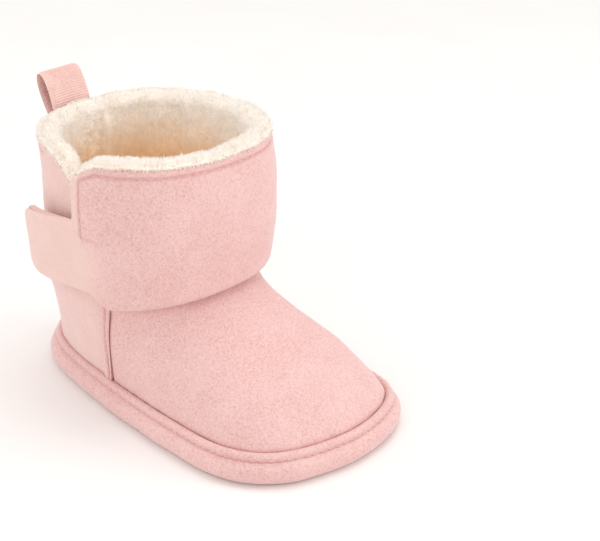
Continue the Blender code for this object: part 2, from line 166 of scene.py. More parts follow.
def colour(name, description, default):
    return FloatVectorProperty(
        name=name, description=description, default=default, subtype="COLOR", size=3, min=0.0, max=1.0,
    )


class BootieSole(bpy.types.PropertyGroup):
    """The soft sole."""

    rim_puff: length("Rim puff", "How far the rolled rim swells and dips between its stitches", 0.28, 0.0, 1.0)
    dot_pitch: length("Grip dot pitch", "Distance between the anti-slip dots", 5.2, 3.0, 12.0)
    dot_width: length("Grip dot width", "Width of one anti-slip dot", 2.3, 0.5, 5.0)


class BootieUpper(bpy.types.PropertyGroup):
    """The suede panels."""

    thickness: length("Suede thickness", "Thickness of the suede", 1.1, 0.4, 2.0)
    softness: length("Softness", "Height of the soft unevenness of the panels", 0.45, 0.0, 2.0)
    lap: length("Seam lap", "Width of the lapped side seam", 1.7, 0.5, 4.0)


class BootiePlush(bpy.types.PropertyGroup):
    """The plush lining."""

    pile: length("Pile length", "Length of the plush at the collar", 1.3, 0.3, 4.0)
    spacing: length("Tuft spacing", "Distance between tufts at the collar", 0.36, 0.25, 2.0)
    clump: length("Clumping", "Height of the clumps under the pile", 0.32, 0.0, 2.0)


class BootieTrim(bpy.types.PropertyGroup):
    """The tab, the pull loop and the sewing."""

    stitch_length: length("Stitch length", "Length of one stitch", 2.0, 0.8, 4.0)
    stitch_radius: length("Thread radius", "Half the thread's thickness", 0.2, 0.1, 0.6)
    ribs: IntProperty(
        name="Webbing ribs", description="Number of ribs along the pull loop's webbing",
        default=62, min=10, max=120,
    )


class BootieColours(bpy.types.PropertyGroup):
    """The finishes."""

    suede: colour("Suede", "The nap's main colour", (0.775, 0.50, 0.478))
    suede_fleck: colour("Suede flecks", "Pale flecks in the nap", (0.88, 0.64, 0.62))
    # This darker colour is both the nap's darker grain and the painted shade at the bottom of seams, folds and
    # grooves.
    suede_shade: colour("Suede shade", "The nap's darker grain, and the bottom of seams", (0.62, 0.30, 0.275))
    plush_tip: colour("Plush tips", "The ends of the pile", (1.0, 0.92, 0.84))
    plush_root: colour("Plush roots", "The pile near its backing", (1.0, 0.84, 0.68))
    # Painted shade: the plush is painted darker and warmer deep inside the shaft, where little light reaches.
    plush_inside_shade: colour("Plush inside", "The pressed pile deep inside the shaft", (0.78, 0.49, 0.25))
    webbing: colour("Webbing", "The pull loop", (0.92, 0.64, 0.59))
    thread: colour("Thread", "The sewing", (0.83, 0.50, 0.48))
    grip: colour("Sole grip", "The underside and its dots", (0.85, 0.62, 0.58))


# ---------------------------------------------------------------- the pattern's shapes


def lerp(a, b, t):
    return a + (b - a) * t


def smooth(t):
    t = min(max(t, 0.0), 1.0)
    return t * t * (3 - 2 * t)


def spread(start, end, step):
    """Values from start to end, evenly spaced and about a step apart."""
    count = max(1, round(abs(end - start) / step))
    return [lerp(start, end, i / count) for i in range(count + 1)]


def graded(start, end, step, fine_spots, fine_step, reach):
    """Values from start to end that come closer together near some spots, which are all among them."""
    marks = sorted({start, end, *[spot for spot in fine_spots if start < spot < end]})
    values = [start]
    for mark in marks[1:]:
        low = values[-1]
        piece = [0.0]
        while low + piece[-1] < mark - 1e-9:
            here = low + piece[-1]
            near = min(abs(here - spot) for spot in fine_spots)
            piece.append(piece[-1] + lerp(fine_step, step, smooth((near - reach) / reach)))
        scale = (mark - low) / piece[-1]
        values += [low + value * scale for value in piece[1:]]
    return values


def along(points, x):
    for (x0, y0), (x1, y1) in zip(points, points[1:]):
        if x <= x1:
            return lerp(y0, y1, max(0.0, (x - x0) / (x1 - x0)))
    return points[-1][1]


def spline_point(a, b, c, d, t):
    """A point of the smooth curve from b to c, which comes from a and goes on to d."""
    squared = 2 * a - 5 * b + 4 * c - d
    cubed = 3 * b - a - 3 * c + d
    return 0.5 * (2 * b + (c - a) * t + squared * t * t + cubed * t ** 3)


def sole_curve(steps):
    """The sole's outer line as a smooth closed curve through OUTLINE, centred on the origin."""
    count = len(OUTLINE)
    curve = []
    for i in range(count):
        near = [Vector(OUTLINE[(i + k) % count]) for k in (-1, 0, 1, 2)]
        curve += [spline_point(*near, j / steps) for j in range(steps)]
    xs = [p.x for p in curve]
    ys = [p.y for p in curve]
    centre = Vector(((min(xs) + max(xs)) / 2, (min(ys) + max(ys)) / 2))
    return [p - centre for p in curve], centre


def sole_frame(curve):
    """Each point of the sole's line with its inward direction and its distance round the sole."""
    rows = []
    run = 0.0
    for i, point in enumerate(curve):
        ahead = curve[(i + 1) % len(curve)]
        side = (ahead - curve[i - 1]).normalized()
        rows.append((point, Vector((-side.y, side.x)), run))
        run += (ahead - point).length
    return rows


def offset_line(curve, distance):
    return [point + inward * distance for point, inward, _ in sole_frame(curve)]


SOLE, OUTLINE_CENTRE = sole_curve(10)
FINE_SOLE = sole_frame(sole_curve(32)[0])
AXIS = Vector((SHAFT_FROM_HEEL, 0.6)) - OUTLINE_CENTRE


def reach_to(line, angle):
    """How far a closed line is from the shaft's axis, at an angle."""
    ray = Vector((math.cos(math.radians(angle)), math.sin(math.radians(angle))))
    for i, end in enumerate(line):
        start = line[i - 1] - AXIS
        side = end - AXIS - start
        cross = ray.x * side.y - ray.y * side.x
        share = (start.y * ray.x - start.x * ray.y) / -cross if cross else -1
        reach = (start + side * share).dot(ray)
        if 0 <= share <= 1 and reach > 0:
            return reach
    raise ValueError("the ray misses the sole")


FOOT_LINE = offset_line(SOLE, UPPER_INSET)
BASE_REACHES = [reach_to(FOOT_LINE, angle / 2) for angle in range(721)]


def base_reach(angle):
    """How far the upper's lowest line is from the shaft's axis."""
    place = (angle % 360) * 2
    low = int(place)
    return lerp(BASE_REACHES[low], BASE_REACHES[low + 1], place - low)


def shaft_reach(angle, height):
    """How far the quarter's outer face is from the shaft's axis: a rounded oval that changes with height."""
    t = (height - SHAFT_LOW) / (SHAFT_HIGH - SHAFT_LOW)
    c = math.cos(math.radians(angle))
    s = math.sin(math.radians(angle))
    end = lerp(*(REACH_FRONT if c > 0 else REACH_REAR), t)
    side = lerp(*REACH_SIDE, t)
    return (abs(c / end) ** SHAFT_ROUNDNESS + abs(s / side) ** SHAFT_ROUNDNESS) ** (-1 / SHAFT_ROUNDNESS)


def ankle(angle):
    """Height of the line where the foot meets the shaft."""
    return ANKLE_HEIGHT + ANKLE_RISE * math.cos(math.radians(angle))


def arc(degrees, radius=CUFF_ARC):
    """Length in millimetres of an arc round the shaft."""
    return math.radians(degrees) * radius


def from_axis(angle, reach, height):
    turn = math.radians(angle)
    return Vector((AXIS.x + reach * math.cos(turn), AXIS.y + reach * math.sin(turn), height))


def shaft_point(angle, height, stand=0.0):
    """A point that stands off the shaft's outer face."""
    return from_axis(angle, shaft_reach(angle, height) + stand, height)


def wall_face(angle, level):
    """The upper's outer face. Level 0 is its lowest line, 1 the ankle, and 2 the collar's height."""
    low = ankle(angle)
    if level > 1:
        return shaft_point(angle, lerp(low, SHAFT_HIGH, level - 1))
    toe_side = max(0.0, math.cos(math.radians(angle)))
    share = lerp(level, level ** TOE_DOME, toe_side)
    reach = lerp(base_reach(angle), shaft_reach(angle, low), share)
    return from_axis(angle, reach, lerp(UPPER_BASE, low, level))


def wall_reach(angle, level):
    """How far the upper's outer face is from the shaft's axis."""
    return (wall_face(angle, level).xy - AXIS).length


def wall_normal(angle, level):
    low = max(level - 0.02, 0.0)
    across = wall_face(angle + 0.7, level) - wall_face(angle - 0.7, level)
    upward = wall_face(angle, low + 0.04) - wall_face(angle, low)
    return across.cross(upward).normalized()


def wall_point(angle, level, depth=0.0):
    """A point at a depth inside the upper's outer face."""
    return wall_face(angle, level) - wall_normal(angle, level) * depth


def level_of(angle, height):
    low = ankle(angle)
    if height > low:
        return 1 + (height - low) / (SHAFT_HIGH - low)
    return (height - UPPER_BASE) / (low - UPPER_BASE)


def cuff_stand(angle, height):
    """How far the cuff's face stands off the shaft: padded low down, drawn in at the collar and the back."""
    low = ankle(angle)
    t = (height - low) / (COLLAR_TOP - low)
    stand = lerp(*CUFF_STAND, t) + CUFF_BULGE * math.sin(math.pi * min(max(t, 0.0), 1.0))
    return stand * (1 - smooth((angle % 360 - 150) / 30)) if angle % 360 <= BACK_SEAM else stand


def seam_angle(level):
    """The side seam leans back towards the sole."""
    return SEAM_TOP - SEAM_LEAN * (1 - min(level, 1.0))


def medial_angle(level):
    return MEDIAL_SEAM + SEAM_LEAN * (1 - min(level, 1.0))


def quarter_top(angle):
    return ankle(angle) + 1.5 if angle < BACK_SEAM else along(QUARTER_EDGE, angle)


def flap_low(angle):
    """The flap's free lower edge curves up from the side seam to the tab's lower edge."""
    return lerp(TAB_LOW, ankle(angle) + 0.3, smooth((angle + 79) / (HINGE_ANGLE + 79)))


def cuff_low(angle):
    return flap_low(angle) if angle < HINGE_ANGLE else ankle(angle) + 0.3


def fold_back(distance, tall, deep):
    """How far a turned edge has rolled back, at a distance from its fold."""
    if distance >= tall:
        return 0.0
    return deep * (1 - math.sqrt(max(0.0, 1 - (1 - max(distance, 0.0) / tall) ** 2)))


def groove(distance, width):
    return math.exp(-((distance / width) ** 2))


def soft_noise(point, size, seed=0.0):
    return noise.noise(point / size + Vector((seed, seed * 1.7, seed * 0.6)))


def soft_way(point, size):
    """A smooth random direction that is the same in every run, as noise_vector's isn't."""
    return Vector([soft_noise(point, size, seed) for seed in (11.0, 23.0, 37.0)])


def random_way(chance):
    return Vector([chance.uniform(-1, 1) for _ in range(3)])


# ---------------------------------------------------------------- making meshes


def carried_grid(columns, rows, place):
    """A grid of quads carried onto a surface.

    place(column, row) gives a point and how deep in a crease it is; the finishes paint shade into creases. It
    may
    also give a share from 0 to 1: on suede, how much painted sheen makes it paler and less speckled; on plush,
    how much painted shade makes it darker and warmer inside the shaft.

    Each vertex keeps the number of its row, so that a piece can raise pile on some of its rows only.
    """
    bm = bmesh.new()
    crease = bm.verts.layers.float.new("crease")
    sheen_and_deep_shade = bm.verts.layers.float.new("sheen_and_deep_shade")
    row_of = bm.verts.layers.int.new("row")
    last_column = len(columns) - 1
    last_row = len(rows) - 1
    bmesh.ops.create_grid(bm, x_segments=last_column, y_segments=last_row, size=0.5)
    for vert in bm.verts:
        i = round((vert.co.x + 0.5) * last_column)
        j = round((vert.co.y + 0.5) * last_row)
        vert[row_of] = j
        point, depth, *share = place(columns[i], rows[j])
        vert.co = point * MM
        vert[crease] = depth
        vert[sheen_and_deep_shade] = share[0] if share else 0.0
    bmesh.ops.remove_doubles(bm, verts=bm.verts, dist=1e-6)
    return bm


def cap_ends(bm):
    bmesh.ops.holes_fill(bm, edges=[edge for edge in bm.edges if edge.is_boundary], sides=0)


def raise_pile(bm, faces, length_at, lean, seed):
    """Every quad among the faces becomes a tuft: its middle is drawn out along the nap, to a tip."""
    crease = bm.verts.layers.float["crease"]
    sheen_and_deep_shade = bm.verts.layers.float["sheen_and_deep_shade"]
    chance = random.Random(seed)
    made = bmesh.ops.poke(bm, faces=faces, offset=0.0, center_mode="MEAN_WEIGHTED")
    bm.normal_update()
    for vert in made["verts"]:
        vert[sheen_and_deep_shade] = max(edge.other_vert(vert)[sheen_and_deep_shade] for edge in vert.link_edges)
        point = vert.co / MM
        sway = soft_way(point, 2.6) * lean + soft_way(point, 0.7) * lean * 0.5
        direction = (vert.normal + sway + random_way(chance) * 0.25).normalized()
        length = length_at(point) * chance.uniform(0.55, 1.25)
        vert.co += direction * length * MM
        vert[crease] = 1.0


def pile_faces(bm, first_row, last_row):
    row_of = bm.verts.layers.int["row"]
    return [
        face for face in bm.faces
        if len(face.verts) == 4 and all(first_row <= vert[row_of] <= last_row for vert in face.verts)
    ]


def add_piece(name, bm, look, body, stands_for=(), sharp=60):
    """Puts a finished mesh in the scene, on its body, in place of the plain nodes it stands for."""
    mesh = bpy.data.meshes.new(name)
    bm.to_mesh(mesh)
    bm.free()
    mesh.shade_smooth()
    if sharp:
        mesh.set_sharp_from_angle(angle=math.radians(sharp))
    mesh.materials.append(look)
    piece = bpy.data.objects.new(name, mesh)
    bpy.context.scene.collection.objects.link(piece)
    if isinstance(body, str):
        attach(piece, body)
    else:
        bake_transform(piece, body[0], body[1], start=body[2], end=body[3])
    if stands_for:
        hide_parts(*stands_for)
    return piece


def flap_bend():
    """The cloth turns from the shoe to the flap along the hinge's own direction of travel."""
    hinge = Vector(next(joint for joint in frame["joints"] if joint["name"] == "flap_hinge")["pos_m"])
    turn = math.radians(HINGE_ANGLE)
    travel = Vector((math.sin(turn), -math.cos(turn), 0.0))
    return ("shoe", "flap", hinge - travel * 0.007, hinge + travel * 0.006)


def tab_bend():
    """The cloth turns from the flap to the tab just past the slit."""
    pivot = Vector(next(joint for joint in frame["joints"] if joint["name"] == "tab_peel")["pos_m"])
    return ("flap", "tab", pivot - Vector((0.0012, 0, 0)), pivot - Vector((0.0062, 0, 0)))


# ---------------------------------------------------------------- finishes


def fill_inputs(tree, made, inputs):
    """An input given as a socket is linked, and any other is set."""
    for key, value in inputs.items():
        if isinstance(value, bpy.types.NodeSocket):
            tree.links.new(value, made.inputs[key])
        else:
            made.inputs[key].default_value = value


def node(tree, kind, inputs=None, **settings):
    made = tree.nodes.new(kind)
    for key, value in settings.items():
        setattr(made, key, value)
    fill_inputs(tree, made, inputs or {})
    return made


def attribute(tree, name):
    return node(tree, "ShaderNodeAttribute", attribute_name=name).outputs["Fac"]


def mix(tree, share, a, b, blend_type="MIX"):
    """Mixes two colours. Each may be a socket or a colour."""
    return node(
        tree, "ShaderNodeMix", {0: share, 6: a, 7: b}, data_type="RGBA", blend_type=blend_type
    ).outputs[2]


def spread_of_values(tree, value, low, high, to_low=0.0, to_high=1.0):
    return node(
        tree, "ShaderNodeMapRange",
        {"Value": value, "From Min": low, "From Max": high, "To Min": to_low, "To Max": to_high},
    ).outputs["Result"]


def grain(tree, place, size, detail=2.0, roughness=0.55):
    """Noise whose features are about this many millimetres across."""
    return node(
        tree, "ShaderNodeTexNoise",
        {"Vector": place, "Scale": 1 / (size * MM * 1.6), "Detail": detail, "Roughness": roughness},
    ).outputs["Fac"]


def plus(tree, a, b):
    return node(tree, "ShaderNodeMath", {0: a, 1: b}, operation="ADD").outputs[0]


def times(tree, a, b):
    return node(tree, "ShaderNodeMath", {0: a, 1: b}, operation="MULTIPLY").outputs[0]


def new_group(name, inputs, outputs):
    tree = bpy.data.node_groups.new(name, "ShaderNodeTree")
    for label, kind, value in inputs:
        tree.interface.new_socket(label, in_out="INPUT", socket_type=kind).default_value = value
    for label, kind in outputs:
        tree.interface.new_socket(label, in_out="OUTPUT", socket_type=kind)
    return tree, tree.nodes.new("NodeGroupInput"), tree.nodes.new("NodeGroupOutput")


# The pale tone of the painted sheen.
PAINTED_SHEEN_TONE = (0.86, 0.68, 0.59, 1.0)


def suede_nap_group():
    """Brushed suede: a fine speckled nap with pale flecks and soft cloudy patches, with painted shade in seams
    and creases and a painted sheen that makes some panels paler and less speckled.
    """
    tree, given, result = new_group(
        "suede_nap",
        [
            ("Vector", "NodeSocketVector", (0, 0, 0)), ("Nap", "NodeSocketColor", (1, 1, 1, 1)),
            ("Fleck", "NodeSocketColor", (1, 1, 1, 1)), ("Shade", "NodeSocketColor", (0, 0, 0, 1)),
            ("Crease", "NodeSocketFloat", 0.0), ("Painted Sheen", "NodeSocketFloat", 0.0),
        ],
        [("Colour", "NodeSocketColor"), ("Height", "NodeSocketFloat"), ("Roughness", "NodeSocketFloat")],
    )
    place, nap, fleck, shade, crease, sheen_and_deep_shade = given.outputs[:6]
    fine = grain(tree, place, 0.45, 2.0, 0.6)
    tiny = grain(tree, place, 0.26, 1.0, 0.6)
    middle = grain(tree, place, 1.3, 3.0)
    cloud = grain(tree, place, 8.0, 3.0)
    # Where the painted sheen is, the speckle is weaker and the colour is painted paler, towards the sheen's
    # tone.
    speckle = spread_of_values(tree, sheen_and_deep_shade, 0.0, 1.0, 1.0, 0.45)
    dark = times(tree, spread_of_values(tree, fine, 0.52, 0.36), speckle)
    colour = mix(tree, times(tree, dark, 0.50), nap, shade)
    pale = times(tree, spread_of_values(tree, tiny, 0.54, 0.68), speckle)
    colour = mix(tree, times(tree, pale, 0.70), colour, fleck)
    colour = mix(tree, spread_of_values(tree, middle, 0.50, 0.35, 0.0, 0.12), colour, shade)
    colour = mix(tree, spread_of_values(tree, cloud, 0.42, 0.64, 0.0, 0.20), colour, fleck)
    colour = mix(tree, times(tree, sheen_and_deep_shade, 0.42), colour, PAINTED_SHEEN_TONE)
    # The crease mask paints shade into seams, folds and grooves.
    fill_inputs(tree, result, {
        "Colour": mix(tree, times(tree, crease, 0.8), colour, shade),
        "Height": plus(tree, times(tree, fine, 0.7), times(tree, tiny, 0.3)),
        "Roughness": spread_of_values(tree, middle, 0.3, 0.7, 0.84, 0.98),
    })
    return tree


def plush_pile_group():
    """Plush: warm roots, pale tips, and a little drift in tone from one clump to the next."""
    tree, given, result = new_group(
        "plush_pile",
        [
            ("Vector", "NodeSocketVector", (0, 0, 0)), ("Tip", "NodeSocketColor", (1, 1, 1, 1)),
            ("Root", "NodeSocketColor", (0, 0, 0, 1)), ("Reach", "NodeSocketFloat", 0.0),
        ],
        [("Colour", "NodeSocketColor"), ("Height", "NodeSocketFloat")],
    )
    place, tip, root, reach = given.outputs[:4]
    strand = grain(tree, place, 0.25, 2.0)
    clump = grain(tree, place, 3.2, 2.0)
    share = plus(tree, reach, spread_of_values(tree, clump, 0.35, 0.65, 0.1, 0.45))
    colour = mix(tree, spread_of_values(tree, share, 0.0, 0.9), root, tip)
    colour = mix(tree, spread_of_values(tree, strand, 0.4, 0.7, 0.0, 0.15), colour, root)
    fill_inputs(tree, result, {"Colour": colour, "Height": strand})
    return tree


def shared_group(name, builder):
    return bpy.data.node_groups.get(name) or builder()


def blank_material(name):
    made = bpy.data.materials.new(name)
    made.use_nodes = True
    tree = made.node_tree
    return made, tree, tree.nodes["Principled BSDF"], node(tree, "ShaderNodeTexCoord").outputs["Object"]


def rgba(value):
    return (*value, 1.0)


def bump(tree, height, strength, distance):
    inputs = {"Height": height, "Strength": strength, "Distance": distance * MM}
    return node(tree, "ShaderNodeBump", inputs).outputs["Normal"]


def suede():
    """Suede for every panel. The tab, the slit's edge and the side are painted paler and less speckled: a
    painted sheen.
    """
    name = "brushed_suede"
    found = bpy.data.materials.get(name)
    if found:
        return found
    colours = bpy.context.scene.bootie_colours
    made, tree, shader, place = blank_material(name)
    inputs = {
        "Vector": place, "Crease": attribute(tree, "crease"), "Painted Sheen": attribute(tree, "sheen_and_deep_shade"),
        "Nap": rgba(colours.suede), "Fleck": rgba(colours.suede_fleck), "Shade": rgba(colours.suede_shade),
    }
    nap = node(tree, "ShaderNodeGroup", inputs, node_tree=shared_group("suede_nap", suede_nap_group)).outputs
    fill_inputs(tree, shader, {
        "Base Color": nap["Colour"], "Roughness": nap["Roughness"],
        "Normal": bump(tree, nap["Height"], 0.55, 0.35), "Specular IOR Level": 0.15,
        "Sheen Weight": 0.5, "Sheen Roughness": 0.4, "Sheen Tint": (0.92, 0.92, 0.95, 1.0),
    })
    return made


def plush():
    """Cream plush. It gives off a little light, which stands for the light that its fibres scatter inside."""
    name = "cream_plush"
    found = bpy.data.materials.get(name)
    if found:
        return found
    colours = bpy.context.scene.bootie_colours
    made, tree, shader, place = blank_material(name)
    inputs = {
        "Vector": place, "Reach": attribute(tree, "crease"),
        "Tip": rgba(colours.plush_tip), "Root": rgba(colours.plush_root),
    }
    pile = node(tree, "ShaderNodeGroup", inputs, node_tree=shared_group("plush_pile", plush_pile_group)).outputs
    # Painted shade: deep inside the shaft the plush is painted darker and warmer; the glow takes the same
    # colour.
    shaded = mix(tree, attribute(tree, "sheen_and_deep_shade"), pile["Colour"], rgba(colours.plush_inside_shade))
    fill_inputs(tree, shader, {
        "Base Color": shaded, "Emission Color": shaded, "Emission Strength": 0.23,
        "Normal": bump(tree, pile["Height"], 0.3, 0.2), "Roughness": 1.0, "Specular IOR Level": 0.05,
        "Sheen Weight": 0.35, "Sheen Roughness": 0.5, "Sheen Tint": (1.0, 0.97, 0.92, 1.0),
    })
    return made


def woven(name, base, grain_size, bump_strength, roughness, specular=0.2):
    """Webbing, tape, thread, foam and grip: one tone broken by fine grain and a little drift, with painted
    shade in creases.
    """
    found = bpy.data.materials.get(name)
    if found:
        return found
    made, tree, shader, place = blank_material(name)
    fine = grain(tree, place, grain_size, 2.0)
    drift = grain(tree, place, grain_size * 9, 2.0)
    darker = rgba([value * 0.80 for value in base])
    paler = rgba([lerp(value, 1.0, 0.28) for value in base])
    tone = mix(tree, spread_of_values(tree, fine, 0.35, 0.62), darker, rgba(base))
    tone = mix(tree, spread_of_values(tree, drift, 0.42, 0.70, 0.0, 0.5), tone, paler)
    # Painted shade: a darker tone mixed in by the crease mask, in folds and between ribs.
    fold_shade = rgba([value ** 1.6 * 0.85 for value in base])
    fill_inputs(tree, shader, {
        "Base Color": mix(tree, times(tree, attribute(tree, "crease"), 0.6), tone, fold_shade),
        "Roughness": spread_of_values(tree, fine, 0.3, 0.7, roughness - 0.08, min(1.0, roughness + 0.08)),
        "Normal": bump(tree, fine, bump_strength, grain_size * 0.6),
        "Specular IOR Level": specular, "Sheen Weight": 0.15,
    })
    return made


def suede_piece(name, bm, thickness, body, stands_for, sharp=50):
    """Turns an outer face into a suede panel with an inner face and edges."""
    bmesh.ops.solidify(bm, geom=bm.faces[:], thickness=thickness * MM)
    return add_piece(name, bm, suede(), body, [stands_for], sharp)


def plush_piece(name, bm, body, stands_for):
    piece = add_piece(name, bm, plush(), body, [stands_for], sharp=0)


# ---------------------------------------------------------------- sole


def round_sole(rows, place_at):
    """A strip carried all the way round the sole."""

    def place(i, row):
        point, inward, run = FINE_SOLE[i % len(FINE_SOLE)]
        distance, height, fold = place_at(point, run, row)
        return Vector((*(point + inward * distance), height)), fold

    return carried_grid(range(len(FINE_SOLE) + 1), rows, place)


def puckers(run):
    """The small gathers between the stitches round the sole."""
    return math.sin(run * 2 * math.pi / 2.7)


def rim_strip(puff):
    """The suede strip rolled round the foam's edge, tucked in at the welt and under the sole."""
    start = -28.0
    end = 186.0

    def place_at(point, run, turn):
        t = math.radians(turn)
        swell = soft_noise(Vector((point.x, point.y, turn * 0.08)), 9.0, 3.0) * puff
        pucker = 0.10 * puckers(run) * smooth((turn - 95) / 60)
        wrinkle = soft_noise(Vector((run * 0.9, turn * 0.03, 0)), 2.2, 5.0) * 0.16 * smooth((turn - 60) / 80)
        radius = RIM_RADIUS + swell * math.sin(max(0.0, min(t, math.pi))) + pucker + wrinkle
        # The tucked ends of the strip get painted shade through the crease mask.
        fold = groove(turn - end, 16) * 0.9 + groove(turn - start, 14) * 0.6
        distance = RIM_RADIUS - radius * math.sin(t)
        height = max(RIM_RADIUS - radius * math.cos(t), 0.0)
        if turn < 0:
            height = 0.35 * (1 - groove(turn, 16))
        return distance, height, fold

    return round_sole(spread(start, end, 7.0), place_at)


def welt_band():
    """The narrow rounded band between the rim and the upper, held down by a seam on each side."""
    profile = [
        (2.35, 7.15), (2.2, 7.7), (2.12, 8.3), (2.3, 8.9), (2.65, 9.3), (3.1, 9.52), (3.6, 9.55), (4.1, 9.35),
        (4.5, 9.0), (4.75, 8.6),
    ]

    def place_at(_, run, k):
        distance, height = profile[k]
        arch = math.sin(math.pi * k / (len(profile) - 1))
        wave = soft_noise(Vector((run, 0, 0)), 3.5, 9.0) * 0.22 + 0.07 * puckers(run)
        # Painted shade along both of the band's seams.
        fold = groove(k, 1.6) + 0.8 * groove(k - len(profile) + 1, 1.8)
        return distance - wave * arch * 0.7, height + wave * arch * 0.6, fold

    return round_sole(range(len(profile)), place_at)


def outsole_face():
    """The flat underside, with its turned-up edge and a groove just inside it."""
    profile = [
        (7.4, 0.45), (6.9, 0.62), (6.4, 0.45), (4.9, 0.42), (4.25, 0.55), (4.0, 0.95), (4.2, 1.5), (4.9, 1.9),
    ]
    # The groove just inside the edge gets painted shade.
    bm = round_sole(profile, lambda _, run, spot: (*spot, groove(spot[0] - 6.9, 0.3) * 0.6))
    cap_ends(bm)
    return bm


def inside_line(line, point):
    """Whether a point lies inside a closed line."""
    inside = False
    for i, b in enumerate(line):
        a = line[i - 1]
        if (a.y > point.y) != (b.y > point.y) and point.x < a.x + (b.x - a.x) * (point.y - a.y) / (b.y - a.y):
            inside = not inside
    return inside


def grip_dots(pitch, width):
    """Low rubbery dots in staggered rows under the sole."""
    bm = bmesh.new()
    edge = offset_line(SOLE, 9.5)
    row_pitch = pitch * math.sqrt(3) / 2
    rows = int(40 / row_pitch)
    for j in range(-rows, rows + 1):
        for i in range(-int(70 / pitch), int(70 / pitch) + 1):
            spot = Vector((i * pitch + (j % 2) * pitch / 2, j * row_pitch))
            if inside_line(edge, spot):
                bmesh.ops.create_cone(
                    bm, cap_ends=True, segments=10, radius1=width * 0.36 * MM, radius2=width * 0.5 * MM,
                    depth=0.45 * MM, matrix=Matrix.Translation((spot.x * MM, spot.y * MM, 0.235 * MM)),
                )
    return bm


class BOOTIE_OT_sole(bpy.types.Operator):
    """Make the rolled rim, the welt, the underside and its grip dots, and finish the foam core"""

    bl_idname = "bootie.sole"
    bl_label = "Sole"

    def execute(self, context):
        sizes = context.scene.bootie_sole
        colours = context.scene.bootie_colours
        thickness = context.scene.bootie_upper.thickness
        rim = suede_piece("rim_strip", rim_strip(sizes.rim_puff), thickness, "shoe", "sole_rim")
        suede_piece("welt_band", welt_band(), 0.6, "shoe", "welt")
        grip = woven("grip_cloth", colours.grip, 0.5, 0.4, 0.75, 0.3)
        add_piece("outsole_face", outsole_face(), grip, "shoe", ["outsole"])
        dots = woven("dot_rubber", [value * 0.93 for value in colours.grip], 0.9, 0.15, 0.5, 0.45)
        bm = grip_dots(sizes.dot_pitch, sizes.dot_width)
        add_piece("grip_dots", bm, dots, "shoe", sharp=40)
        foam = woven("white_foam", (0.88, 0.86, 0.80), 0.6, 0.5, 0.9)
        core = frame["nodes"]["midsole_foam"]
        core.data.materials.clear()
        core.data.materials.append(foam)
        return {"FINISHED"}


# ---------------------------------------------------------------- suede upper


def seam_distance(angle, level, seam):
    """Distance along the face from a seam, in millimetres: positive beyond it."""
    return arc(angle - seam(level), wall_reach(angle, level))


def foot_edge(level):
    """How far the upper turns in at the welt, and how deep in that fold it is."""
    height = level * FOOT_TALL
    return fold_back(height, 1.6, 0.9), groove(height, 0.9)


def unevenness(point, softness):
    """The soft swell of padded suede."""
    return soft_noise(point, 13.0, 2.0) * softness + soft_noise(point, 5.0, 7.0) * softness * 0.22


def vamp_panel(softness):
    """The suede over toe and instep. It tucks under the quarter's laps, into the welt and behind the cuff."""
    tuck = 2.6

    def place(share, level):
        reach = max(20.0, wall_reach(-45, level))
        first = seam_angle(level) - 360 - math.degrees(tuck / reach)
        last = medial_angle(level) + math.degrees(tuck / reach)
        angle = lerp(first, last, share)
        to_side = seam_distance(angle, level, lambda v: seam_angle(v) - 360)
        to_medial = -seam_distance(angle, level, medial_angle)
        near = min(to_side, to_medial)
        under = 0.75 * (1 - smooth((near + 0.4) / 1.6))
        point = wall_face(angle, level)
        out = wall_normal(angle, level)
        pucker = 0.10 * math.sin(angle * 0.9) * groove(level, 0.05)
        swell = unevenness(point, softness) * smooth(level / 0.12) * smooth((1.02 - level) / 0.1)
        full = 0.5 * math.sin(math.pi * min(1.0, level / 0.9))
        foot, foot_fold = foot_edge(level)
        point = point + out * (swell + pucker + full - under - foot - 0.1)
        # Painted shade in the fold at the welt and along the side seams.
        return point, foot_fold + groove(near - 0.9, 0.45) * 0.8

    columns = graded(0.0, 1.0, 0.0055, [0.0, 1.0], 0.0022, 0.02)
    rows = graded(0.0, 1.035, 0.014, [0.0], 0.006, 0.05)
    return carried_grid(columns, rows, place)


